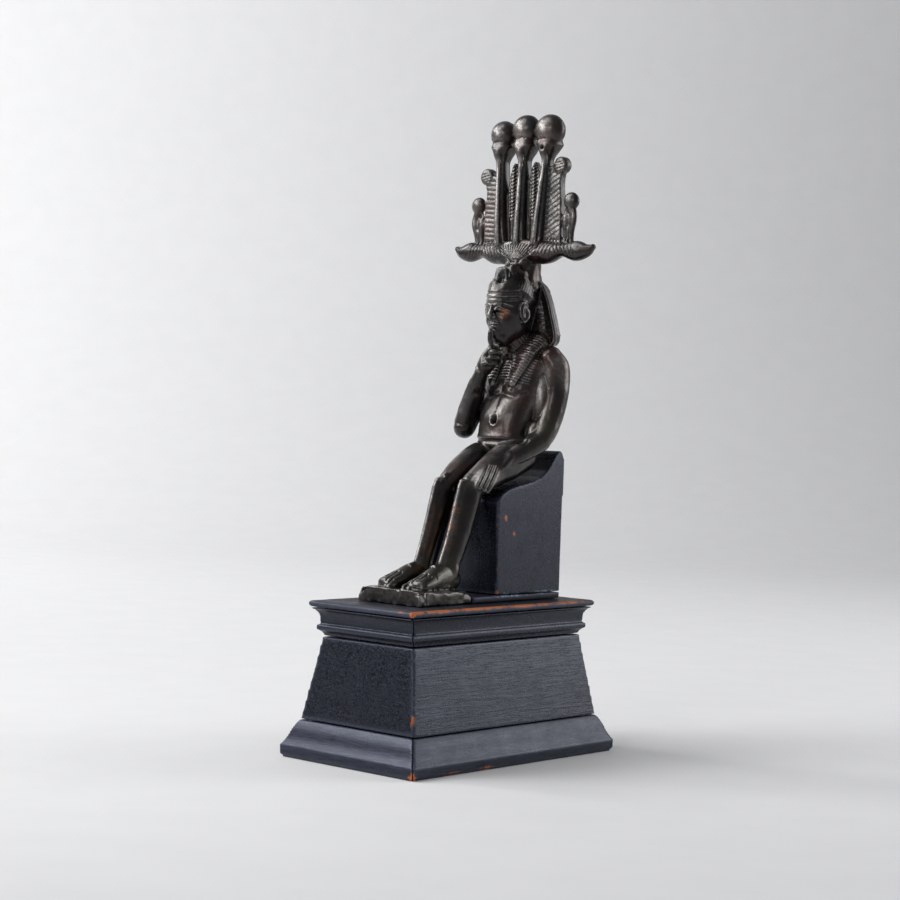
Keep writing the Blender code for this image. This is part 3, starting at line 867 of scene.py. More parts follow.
@dataclass
class Head:
    """Skull and face of calm, regular proportions, and the striped headcloth."""

    skull: tuple[Row, ...] = (
        (0, 2.05, 9.72, 0.36, 0.46),
        (0, 2.22, 9.98, 0.60, 0.78),
        (0, 2.44, 10.35, 0.74, 0.98),
        (0, 2.54, 10.85, 0.80, 1.06),
        (0, 2.62, 11.30, 0.78, 0.98),
        (0, 2.70, 11.65, 0.62, 0.85),
    )
    wings: tuple[Row, ...] = (
        (0, 3.56, 11.70, 0.50, 0.40),
        (0, 3.60, 11.20, 0.86, 0.44),
        (0, 3.62, 10.60, 1.10, 0.44),
        (0, 3.62, 10.00, 1.22, 0.42),
        (0, 3.60, 9.55, 1.20, 0.36),
    )
    lappet: tuple[Row, ...] = (
        (0.74, 3.20, 9.62, 0.62, 0.34),
        (0.68, 2.78, 9.22, 0.52, 0.26),
        (0.61, 2.52, 8.75, 0.39, 0.19),
        (0.54, 2.36, 8.30, 0.26, 0.15),
        (0.50, 2.28, 8.02, 0.14, 0.12),
    )

    def model(self, clay: Clay) -> None:
        """Model the head and the cloth in the rough.

        Args:
            clay: Where the solids are gathered.
        """
        clay.limb(list(self.skull), square=2.15)
        clay.limb([(0, 1.56, 10.92, 0.08, 0.09), (0, 1.45, 10.68, 0.09, 0.09),
                   (0, 1.39, 10.50, 0.11, 0.10)], sides=16)
        for side in (-1, 1):
            clay.ball((side * 0.11, 1.50, 10.45), (0.075, 0.09, 0.065))
        clay.ball((0, 1.62, 10.20), (0.23, 0.14, 0.060))
        clay.ball((0, 1.64, 10.09), (0.19, 0.13, 0.062))
        clay.limb([(0, 1.92, 10.05, 0.44, 0.36), (0, 1.86, 9.88, 0.34, 0.28), (0, 1.88, 9.80, 0.24, 0.2)])
        for side in (-1, 1):
            clay.ball((side * 0.84, 2.36, 10.64), (0.12, 0.24, 0.38), tilt=14)
        clay.limb([(0, 2.68, 11.28, 0.88, 1.12), (0, 2.84, 11.62, 0.76, 0.98), (0, 2.95, 11.92, 0.60, 0.80)])
        clay.limb([(0, 2.56, 11.02, 0.82, 1.11), (0, 2.60, 11.24, 0.82, 1.08)], steps=2)
        clay.limb(list(self.wings), square=3.0)
        clay.limb([(0, 3.86, 9.60, 0.55, 0.30), (0, 3.80, 8.70, 0.34, 0.22), (0, 3.72, 8.0, 0.24, 0.16)])
        for side in (-1, 1):
            clay.limb([(side * x, *rest) for x, *rest in self.lappet], square=2.6)
            edge = ((0.60, 11.88), (0.86, 11.68), (1.04, 11.38), (1.19, 11.02), (1.37, 10.45),
                    (1.54, 9.86), (1.50, 9.60), (1.36, 9.46))
            clay.sheet([(side * 0.2, 11.88)] + [(side * x, z) for x, z in edge] + [(side * 0.2, 9.46)],
                       3.34, 3.70)
            clay.limb([(side * x, 3.36, z, 0.055, 0.10) for x, z in edge], sides=14)
        clay.limb([(0.03, 2.02, 11.26, 0.19, 0.22), (0.04, 1.98, 11.52, 0.28, 0.17),
                   (0.05, 1.96, 11.86, 0.33, 0.16), (0.05, 2.00, 12.18, 0.29, 0.16)], square=2.6)
        clay.limb([(0.05, 2.10, 12.02, 0.16, 0.18), (0, 2.40, 12.00, 0.14, 0.16),
                   (0, 2.70, 11.95, 0.2, 0.2)], sides=14)

    def carve(self, relief: Relief) -> None:
        """Cut the face's features, the cloth's stripes and the serpent's hood.

        Args:
            relief: The carving of the fused casting.
        """
        front = (0, -1, 0)
        for side in (-1, 1):
            self.carve_side(relief, side)
        relief.stroke([(-0.20, 1.5, 10.152), (-0.08, 1.5, 10.145), (0.08, 1.5, 10.145), (0.20, 1.5, 10.152)],
                      0.020, -0.04, way=front, axes=(0, 2))
        relief.stroke([(0, 1.5, 10.40), (0, 1.5, 10.26)], 0.035, -0.015, way=front, axes=(0, 2))
        relief.dent((0, 1.6, 9.98), (0.18, 0.4, 0.05), -0.025, way=front)
        relief.dent((0.12, 1.80, 11.84), (0.15, 0.2, 0.26), -0.15, way=(0.5, -1, 0))
        relief.stroke([(-0.20, 1.80, 11.40), (-0.24, 1.80, 11.85), (-0.18, 1.84, 12.2)], 0.05, 0.05,
                      way=front)
        relief.stroke([(-0.18, 1.9, 12.28), (0.05, 1.84, 12.32), (0.28, 1.9, 12.28)], 0.05, 0.04)
        for z, height in ((11.13, -0.045), (11.33, -0.04), (10.95, -0.04)):
            picks = relief.inside((-1.0, 1.1, z - 0.2), (1.0, 2.3, z + 0.2))
            rise = relief.points[picks, 2] - z - 0.10 * (relief.points[picks, 1] - 1.4)
            relief.lift[picks] += height * np.exp(-(rise / 0.03) ** 2) * relief.facing(picks, (0, -1, 0))
        relief.ribs([(0, 3.9, 9.6), (0, 3.8, 8.0)], 0.6, 0.18, 0.02, way=(0, 1, 0), sharp=0.6)
        back = [(0, 4.2, 11.8), (0, 4.3, 9.5)]
        relief.ribs(back, 1.3, 0.24, 0.020, skew=(0, 0, 0), way=(0, 1, 0), sharp=0.5)

    def carve_side(self, relief: Relief, side: int) -> None:
        """Cut one eye, brow, ear, lappet and wing, and the cap's strands.

        Args:
            relief: The carving of the fused casting.
            side: 1 for the statuette's left, -1 for its right.
        """
        front = (0, -1, 0)
        arcs = (
            (((0.13, 10.70), (0.22, 10.79), (0.34, 10.81), (0.46, 10.75), (0.58, 10.69)), 0.024, 0.030),
            (((0.13, 10.70), (0.25, 10.645), (0.38, 10.64), (0.48, 10.69)), 0.022, 0.022),
            (((0.12, 10.90), (0.26, 10.97), (0.44, 10.96), (0.64, 10.86)), 0.035, 0.028),
        )
        relief.dent((side * 0.30, 1.62, 10.71), (0.22, 0.5, 0.12), -0.06, way=front)
        relief.dent((side * 0.30, 1.62, 10.71), (0.13, 0.5, 0.06), 0.06, way=front)
        relief.dent((side * 0.42, 1.75, 10.34), (0.24, 0.5, 0.24), 0.045, way=front)
        for points, width, height in arcs:
            path = [(side * x, 1.7, z) for x, z in points]
            relief.stroke(path, width, height, way=front, axes=(0, 2), reach=0.8)
        relief.stroke([(side * 0.22, 1.4, 10.40), (side * 0.30, 1.4, 10.22)], 0.04, -0.02, way=front,
                      axes=(0, 2))
        rim = ((2.26, 10.98), (2.46, 11.0), (2.60, 10.84), (2.58, 10.56), (2.36, 10.30))
        outer = [(side * 0.95, y, z) for y, z in rim]
        relief.stroke(outer, 0.06, 0.06, way=(side, 0, 0), axes=(1, 2), reach=0.4)
        relief.dent((side * 0.95, 2.36, 10.66), (0.3, 0.10, 0.17), -0.07, way=(side, 0, 0))
        path = [(side * x, y, z) for x, y, z, _, _ in self.lappet]
        relief.ribs(path, 0.70, 0.112, 0.013, way=(side * 0.2, -1, 0.3), sharp=1.3)
        for step in range(11):
            z = 9.60 + 0.20 * step
            reach = 1.50 - 0.022 * max(0, step - 1) ** 1.7
            stripe = [(side * (reach - 0.55), 3.2, z - 0.03), (side * (reach - 0.08), 3.2, z + 0.02)]
            relief.stroke(stripe, 0.032, -0.022, Cut.VEE, way=front, axes=(0, 2), reach=0.5)
        for step in range(4):
            x = 0.40 + 0.09 * step
            strand = [(side * x, 1.74, 11.30), (side * (x - 0.05), 2.10, 11.62),
                      (side * (x - 0.1), 2.52, 11.88)]
            relief.stroke(strand, 0.022, -0.022, Cut.VEE, way=(side * 0.3, -0.5, 1), reach=0.8)
        for step in range(7):
            y = 1.95 + 0.13 * step
            strand = [(side * 0.8, y, 11.30), (side * 0.7, y + 0.35, 11.75)]
            relief.stroke(strand, 0.022, -0.010, Cut.VEE, way=(side, 0, 0.4), axes=(1, 2), reach=0.5)


@dataclass
class Crown:
    """Stem, ram's horns, three reed bundles with discs, plumes and cobras."""

    barbs: int = 14
    barb_pitch: float = 0.195
    horn: tuple[Row, ...] = (
        (0.20, 3.12, 12.95, 0.36, 0.40),
        (0.80, 3.12, 12.96, 0.42, 0.38),
        (1.35, 3.12, 13.00, 0.42, 0.36),
        (1.95, 3.14, 13.10, 0.27, 0.30),
        (2.55, 3.16, 13.08, 0.38, 0.30),
        (3.02, 3.18, 13.10, 0.27, 0.24),
        (3.32, 3.19, 13.24, 0.12, 0.14),
    )
    bundles: tuple[tuple[float, float, float, float, float], ...] = (
        (-0.93, -1.02, -1.08, 17.43, 0.55),
        (-0.02, 0.03, 0.02, 17.56, 0.58),
        (0.84, 1.06, 1.16, 17.47, 0.62),
    )
    reed: tuple[tuple[float, float, float, float], ...] = (
        (13.10, 3.14, 0.26, 0.40),
        (14.20, 3.14, 0.19, 0.38),
        (15.40, 3.15, 0.15, 0.32),
        (16.20, 3.16, 0.13, 0.24),
        (16.46, 3.16, 0.16, 0.26),
        (16.72, 3.16, 0.34, 0.38),
        (16.93, 3.16, 0.47, 0.47),
        (17.04, 3.16, 0.44, 0.45),
    )

    def model(self, clay: Clay) -> None:
        """Model the crown in the rough.

        Args:
            clay: Where the solids are gathered.
        """
        clay.limb([(0, 3.18, 11.60, 0.82, 0.90), (0, 3.24, 12.00, 0.68, 0.72), (0, 3.22, 12.60, 0.66, 0.66)])
        clay.limb([(0.02, 2.72, 12.38, 0.30, 0.22), (0.02, 2.84, 12.70, 0.50, 0.26),
                   (0.02, 2.92, 13.00, 0.80, 0.28), (0.02, 2.96, 13.22, 0.98, 0.22)], square=2.5)
        clay.ball((0.06, 2.62, 12.32), (0.36, 0.22, 0.24))
        for side in (-1, 1):
            self.model_side(clay, side)
        for low, middle, high, top, disc in self.bundles:
            rows = []
            for z, y, wide, deep in self.reed:
                share = (z - 13.2) / 4.3
                x = low + (high - low) * share + (middle - (low + high) / 2) * 4 * share * (1 - share)
                rows.append((x, y, z, wide, deep))
            clay.limb(rows, sides=32, square=2.8)
            rod = [(low - 0.02, 2.78, 13.30, 0.15, 0.12), ((low + middle) / 2, 2.76, 14.2, 0.13, 0.12),
                   (middle, 2.80, 15.3, 0.11, 0.11), (high - 0.01, 2.86, 16.25, 0.10, 0.10),
                   (high - 0.02, 2.80, 16.62, 0.17, 0.12), (high - 0.02, 2.78, 16.86, 0.26, 0.12)]
            clay.limb(rod, sides=20)
            clay.ball((high, 3.14, top), (disc, 0.50, disc - 0.01))

    @staticmethod
    def drop(side: int) -> float:
        """Tell how far the outer plume of a side stands below the taller one."""
        return 0.26 if side < 0 else 0.0

    def plume_head(self, side: int) -> tuple[float, float]:
        """Give the middle (x, z) of the disc at the head of an outer plume."""
        return side * (1.82 if side < 0 else 1.78), 16.14 - self.drop(side)

    def model_side(self, clay: Clay, side: int) -> None:
        """Model one horn, outer plume, cobra and inner plume.

        Args:
            clay: Where the solids are gathered.
            side: 1 for the statuette's left, -1 for its right.
        """
        dip = 0.05 if side > 0 else 0.02
        clay.limb([(side * x, y, z - dip * x, a, b) for x, y, z, a, b in self.horn], side=(0, 0, 1))
        drop = self.drop(side)
        outline = [(1.05, 13.1), (1.88, 13.1), (1.87, 14.4), (1.80, 15.5), (1.86, 15.9),
                   (1.66, 16.2), (1.20, 16.1), (1.05, 15.0)]
        clay.sheet([(side * x, z - (drop if z > 15 else 0)) for x, z in outline], 3.02, 3.36)
        middle, height = self.plume_head(side)
        turn = [math.radians(angle) for angle in range(0, 360, 12)]
        for inset, depth in ((0.0, 0.12), (0.03, 0.17), (0.09, 0.20)):
            reach = 0.32 - inset
            ring = [(middle + reach * math.cos(a), height + reach * math.sin(a)) for a in turn]
            clay.sheet(ring, 3.17 - depth, 3.19 + depth)
        hood = [
            (side * 2.14, 3.19, 13.15, 0.28, 0.17),
            (side * 2.20, 3.14, 13.60, 0.24, 0.14),
            (side * 2.24, 3.12, 14.10, 0.33, 0.14),
            (side * 2.26, 3.14, 14.42, 0.28, 0.13),
            (side * 2.27, 3.15, 14.62, 0.18, 0.13),
        ]
        clay.limb(hood, sides=20)
        clay.ball((side * 2.28, 3.16, 14.80), (0.33, 0.22, 0.33))
        inner = [(0.06, 13.1), (0.94, 13.1), (0.90, 14.6), (0.74, 15.7), (0.64, 16.15),
                 (0.50, 16.36), (0.34, 16.15), (0.24, 15.7), (0.08, 14.6)]
        clay.sheet([(side * x, z) for x, z in inner], 3.10, 3.36)
        spine = [(side * 0.50, 3.12, 13.2, 0.09, 0.07), (side * 0.51, 3.08, 15.0, 0.09, 0.09),
                 (side * 0.50, 3.08, 16.15, 0.08, 0.08)]
        clay.limb(spine, sides=14, steps=3)

    def carve(self, relief: Relief) -> None:
        """Cut barbs, chevrons, horn ridges and the fan, and pit the discs.

        Args:
            relief: The carving of the fused casting.
        """
        for side in (-1, 1):
            self.carve_plume(relief, side)
            self.carve_horn(relief, side)
        for step in range(-7, 8):
            x = 0.02 + 0.135 * step
            top = 13.34 - 0.035 * abs(step)
            path = [(0.02 + 0.02 * step, 2.7, 12.45),
                    (0.02 + 0.065 * step, 2.7, 12.85 - 0.012 * abs(step)), (x, 2.7, top)]
            relief.stroke(path, 0.032, -0.06, Cut.VEE, way=(0, -1, 0.2), axes=(0, 2), reach=0.5)
        knob = relief.inside((-0.6, 2.2, 12.0), (0.7, 3.0, 12.6))
        relief.lift[knob] += 0.05 * lumps(relief.points[knob], 0.17, 31) * relief.facing(knob, (0, -1, 0))
        stem = relief.inside((-1.0, 2.3, 11.7), (1.0, 4.2, 12.7))
        relief.lift[stem] += 0.020 * lumps(relief.points[stem], 0.2, 33)
        for low, middle, high, top, disc in self.bundles:
            groove = [(low + 0.15, 2.78, 13.35), ((low + middle) / 2 + 0.15, 2.78, 14.2),
                      (middle + 0.14, 2.82, 15.3), (high + 0.12, 2.88, 16.3)]
            relief.stroke(groove, 0.05, -0.07, way=(0.8, -0.6, 0))
            for spot in range(26):
                turn, tall = 2.4 * spot, -0.9 + 1.7 * ((spot * 0.618) % 1.0)
                level = math.sqrt(1 - min(tall * tall, 0.99))
                centre = (high + disc * level * math.cos(turn), 3.14 + 0.5 * level * math.sin(turn),
                          top + disc * tall)
                size = 0.024 + 0.014 * ((spot * 0.37) % 1.0)
                relief.dent(centre, (size, size, size), -0.030)
        near = self.bundles[2]
        relief.dent((near[2] - 0.02, 2.64, 16.80), (0.07, 0.12, 0.07), -0.14)

    def carve_plume(self, relief: Relief, side: int) -> None:
        """Cut the barbs of one outer plume and the herringbone of one inner plume.

        Args:
            relief: The carving of the fused casting.
            side: 1 for the statuette's left, -1 for its right.
        """
        slant = 0.06 if side < 0 else 0.34
        drop = self.drop(side)
        middle, height = self.plume_head(side)
        for way in (-1, 1):
            for barb in range(self.barbs):
                z = 13.36 + self.barb_pitch * barb - drop * barb / self.barbs
                path = [(side * 1.16, 3.18, z), (side * 1.80, 3.18, z + slant)]
                relief.stroke(path, 0.026, -0.019, Cut.VEE, way=(0, way, 0), axes=(0, 2), reach=0.4)
            for line in range(-2, 3):
                path = [(middle - 0.25, 3.18, height + 0.11 * line - 0.05),
                        (middle + 0.25, 3.18, height + 0.11 * line + 0.05)]
                relief.stroke(path, 0.022, -0.020, Cut.VEE, way=(0, way, 0), axes=(0, 2), reach=0.4)
        for step in range(15):
            z = 14.25 + 0.135 * step
            for edge in (0.36, 0.66):
                path = [(side * 0.5, 3.1, z), (side * edge, 3.1, z + 0.13)]
                relief.stroke(path, 0.030, -0.055, Cut.VEE, way=(0, -1, 0), axes=(0, 2), reach=0.4)
        hood = [(side * 2.20, 3.0, 13.45), (side * 2.24, 3.0, 13.9), (side * 2.25, 3.0, 14.25)]
        relief.stroke(hood, 0.14, -0.10, way=(0, -1, 0), axes=(0, 2), reach=0.4)
        relief.dent((side * 2.10, 2.98, 14.42), (0.12, 0.16, 0.10), -0.12, way=(0, -1, 0))
        relief.stroke([(side * 2.20, 3.0, 13.3), (side * 2.22, 3.0, 13.8)], 0.045, 0.05, way=(0, -1, 0),
                      axes=(0, 2))

    def carve_horn(self, relief: Relief, side: int) -> None:
        """Twist the ridges of one horn: they lean outward near the stem and inward past the waist.

        Args:
            relief: The carving of the fused casting.
            side: 1 for the statuette's left, -1 for its right.
        """
        for ridge in range(13):
            x = 0.62 + 0.165 * ridge
            lean = 0.34 if x < 1.75 else -0.30
            middle = 13.0 - 0.05 * x
            path = [(side * (x - lean * 0.2), 3.1, middle - 0.12),
                    (side * (x + lean * 0.1), 3.1, middle + 0.14),
                    (side * (x + lean * 0.5), 3.1, middle + 0.50)]
            deep = 0.045 if x < 2.5 else 0.030
            relief.stroke(path, 0.030, -deep, Cut.VEE, way=(0, -0.7, 0.7), axes=(0, 2), reach=0.6)
            relief.stroke(path, 0.034, -deep, Cut.VEE, way=(0, 1, 0.3), axes=(0, 2), reach=0.6)


@dataclass
class Statuette:
    """The whole casting."""

    voxel: float = 0.00032
    triangles: int = 190000
    legs: Legs = field(default_factory=Legs)
    trunk: Trunk = field(default_factory=Trunk)
    head: Head = field(default_factory=Head)
    crown: Crown = field(default_factory=Crown)
    # Painted highlights: path, reach and strength of grey lines where the lights glint on reeds, arms, shins,
    # belly, face and discs.
    painted_highlights: tuple[tuple[tuple[Point, ...], float, float], ...] = (
        (((-0.95, 2.70, 13.4), (-1.02, 2.68, 14.6), (-1.08, 2.80, 16.4)), 0.16, 1.0),
        (((-0.02, 2.70, 13.4), (0.03, 2.68, 14.6), (0.02, 2.80, 16.4)), 0.16, 1.0),
        (((0.84, 2.70, 13.4), (1.03, 2.68, 14.8), (1.16, 2.80, 16.4)), 0.16, 1.0),
        (((1.46, 2.95, 8.5), (1.42, 2.85, 8.0), (1.36, 2.65, 7.3), (1.30, 2.35, 6.7)), 0.20, 0.9),
        (((1.30, 2.2, 6.2), (1.25, 1.5, 5.6)), 0.16, 0.7),
        (((0.25, 1.86, 6.9), (0.36, 2.1, 7.3)), 0.28, 0.45),
        (((1.95, 3.2, 8.9), (2.05, 3.5, 8.0)), 0.25, 0.5),
        (((-0.52, -0.62, 4.15), (-0.52, -1.04, 2.9), (-0.47, -1.58, 1.3)), 0.11, 1.0),
        (((0.72, -0.62, 4.15), (0.72, -1.04, 2.9), (0.67, -1.58, 1.3)), 0.11, 1.0),
        (((1.14, -0.12, 4.55), (1.36, 0.25, 4.5)), 0.36, 1.1),
        (((-0.3, 1.6, 11.05), (0.0, 1.5, 11.2)), 0.25, 0.7),
        (((0.0, 1.32, 10.8), (0.0, 1.26, 10.5)), 0.10, 0.7),
        (((0.80, 2.75, 9.0), (0.66, 2.4, 8.4)), 0.28, 0.6),
        (((-1.6, 1.7, 7.0), (-1.0, 1.55, 8.1)), 0.16, 0.6),
        (((-0.9, 2.1, 9.1), (-0.62, 1.9, 8.6)), 0.14, 0.9),
        (((1.14, 2.66, 17.5), (1.14, 2.66, 17.6)), 0.34, 0.7),
        (((0.02, 2.68, 17.5), (0.02, 2.68, 17.7)), 0.30, 0.7),
        (((-1.08, 2.68, 17.4), (-1.08, 2.68, 17.5)), 0.28, 0.7),
    )
    tints: tuple[tuple[str, tuple[tuple[Point, float], ...]], ...] = (
        ("russet", (
            ((1.5, 3.1, 8.9), 0.9), ((-1.5, 3.1, 8.8), 0.7), ((0.62, 2.5, 8.9), 0.7), ((0.95, 3.0, 7.2), 0.9),
            ((0.3, 2.0, 6.3), 0.6), ((0.5, 0.6, 4.9), 0.6), ((-0.6, 0.4, 4.6), 0.7), ((0.0, 3.6, 12.2), 0.7),
            ((-1.5, 3.0, 14.2), 0.8), ((1.1, 2.9, 17.2), 0.5), ((-0.1, 2.9, 17.2), 0.5),
            ((0.9, 2.9, 13.2), 0.5),
        )),
        ("copper", (
            ((0.52, 1.58, 10.56), 0.15), ((0.54, -1.24, 2.1), 0.18), ((0.56, -1.06, 2.7), 0.20),
            ((0.57, -0.88, 3.3), 0.18),
        )),
        ("olive", (
            ((0.7, -1.6, 0.9), 0.9), ((-0.7, -1.8, 0.8), 0.9), ((0.14, 1.9, 8.95), 0.35),
            ((1.6, 3.0, 6.2), 0.7),
        )),
    )

    def build(self) -> bpy.types.Object:
        """Model, fuse, carve and thin the casting.

        Returns:
            The finished object.
        """
        clay = Clay()
        parts = (self.legs, self.trunk, self.head, self.crown)
        for part in parts:
            part.model(clay)
        item = clay.fuse("bronze_casting", self.voxel, 2)
        relief = Relief(item.data)
        for part in parts:
            part.carve(relief)
        relief.press()
        relief.lift += 0.010 * lumps(relief.points, 0.35, 3) + 0.004 * lumps(relief.points, 0.12, 5)
        relief.press()
        self.weather(relief)
        corners = sum(len(face.vertices) - 2 for face in item.data.polygons)
        LOG.info("casting fused: %d triangles", corners)
        thin = item.modifiers.new("Thin", "DECIMATE")
        thin.ratio = min(1.0, self.triangles / corners)
        settle(item)
        item.data.shade_smooth()
        return item

    def weather(self, relief: Relief) -> None:
        """Mark where the casting is rubbed bright, where grey highlights are painted, and where hollows are
        darkened by dirt and painted shade.

        Args:
            relief: The carved casting.
        """
        close, broad = relief.hollows(5), relief.hollows(50)
        # Hollows, narrow and broad, are darkened like occlusion: real dirt in them and painted shade.
        deep = 0.7 * np.clip((close - 0.001) / 0.014, 0, 1) + 0.6 * np.clip(broad / 0.05, 0, 1)
        mark(relief.mesh, "hollow_dirt_and_shade", np.clip(deep, 0, 1))
        # Real wear: sharp convex edges are rubbed to grey metal.
        worn = np.clip((-close - 0.004) / 0.014, 0, 1)
        every = np.arange(len(relief.points))
        aside, height = np.abs(relief.points[:, 0]), relief.points[:, 2]
        # Painted highlight: crown faces turned to the upper left front; horn lobes and fan get less.
        crown = smooth_share(height, 12.9, 13.4) * relief.facing(every, (-0.5, -1, 0.35), 0.35, 0.9)
        lobes = smooth_share(aside, 1.7, 2.1) * (1 - smooth_share(height, 13.3, 13.6))
        crown *= 1 - 0.8 * lobes
        worn *= 1 - 0.6 * lobes
        fan = (1 - smooth_share(aside, 0.7, 1.1)) * smooth_share(height, 12.0, 12.5)
        worn *= 1 - 0.45 * fan * (1 - smooth_share(height, 13.2, 13.5))
        # Painted highlights along the given lines.
        painted_highlights = np.zeros(len(every))
        for path, reach, strength in self.painted_highlights:
            distance, _ = relief.along(relief.points, list(path), (0, 1, 2))
            np.maximum(painted_highlights, strength * np.exp(-(distance / reach) ** 2), out=painted_highlights)
        blotch = 0.5 + 0.5 * lumps(relief.points, 0.55, 51) + 0.3 * lumps(relief.points, 0.17, 52)
        # Painted highlight: faces turned up and forward are lightened in blotches.
        skin = relief.facing(every, (-0.2, -1, 0.9), 0.55, 1.0) * np.clip(blotch, 0, 1)
        painted_highlight = np.maximum(0.42 * crown * np.clip(0.4 + blotch, 0, 1), 0.35 * skin)
        painted_highlight = np.maximum(painted_highlight, painted_highlights * np.clip(0.5 + blotch, 0.35, 1))
        # The rubbed grey holds real edge wear and the painted highlights.
        worn = np.maximum(worn, painted_highlight * (1 - deep))
        mark(relief.mesh, "rubbed_and_highlit", np.clip(worn, 0, 1))
        mark(relief.mesh, "pitted", np.clip(crown + 0.6 * skin, 0, 1))
        for name, spots in self.tints:
            layer = np.zeros(len(relief.points))
            for centre, reach in spots:
                share = np.linalg.norm((relief.points - np.array(centre)) / reach, axis=1)
                np.maximum(layer, np.exp(-share ** 2), out=layer)
            mark(relief.mesh, name, layer)


def two_tones(
    tree: bpy.types.NodeTree,
    low: str,
    high: str,
    texture: bpy.types.NodeSocket,
    span: tuple[float, float],
) -> bpy.types.NodeSocket:
    """Blend two colours over a span of a texture.

    Args:
        tree: The material's tree.
        low: Hex value of the colour below the span.
        high: Hex value of the colour above it.
        texture: The texture's output.
        span: The texture's values between which the colour turns.

    Returns:
        The blended colour.
    """
    share = add_node(tree, "ShaderNodeMapRange", values={1: span[0], 2: span[1]}, links={0: texture})
    tones = add_node(tree, "ShaderNodeMix", {"data_type": "RGBA"},
                     {6: linear(low), 7: linear(high)}, {0: share.outputs[0]})
    return tones.outputs[2]


def broken_up(
    tree: bpy.types.NodeTree,
    name: str,
    texture: bpy.types.NodeSocket,
    gain: float,
) -> bpy.types.NodeSocket:
    """Break up a marked place by a texture.

    Args:
        tree: The material's tree.
        name: Name of the mark on the mesh.
        texture: The texture's output.
        gain: How strongly the place shows.

    Returns:
        Its share, from 0 to 1.
    """
    marked = add_node(tree, "ShaderNodeAttribute", {"attribute_name": name}).outputs["Fac"]
    times = add_node(tree, "ShaderNodeMath", {"operation": "MULTIPLY"}, links={0: marked, 1: texture})
    share = add_node(tree, "ShaderNodeMath", {"operation": "MULTIPLY", "use_clamp": True},
                     {1: 2 * gain}, {0: times.outputs[0]})
    return share.outputs[0]


def lay_over(
    tree: bpy.types.NodeTree,
    base: bpy.types.NodeSocket,
    layers: tuple[tuple[bpy.types.NodeSocket, str], ...],
) -> bpy.types.NodeSocket:
    """Lay colours over one another, each by its own share.

    Args:
        tree: The material's tree.
        base: The colour below all.
        layers: Share and hex value of each colour, from the bottom up.

    Returns:
        The colour on top.
    """
    for share, code in layers:
        laid = add_node(tree, "ShaderNodeMix", {"data_type": "RGBA"}, {7: linear(code)},
                        {0: share, 6: base})
        base = laid.outputs[2]
    return base


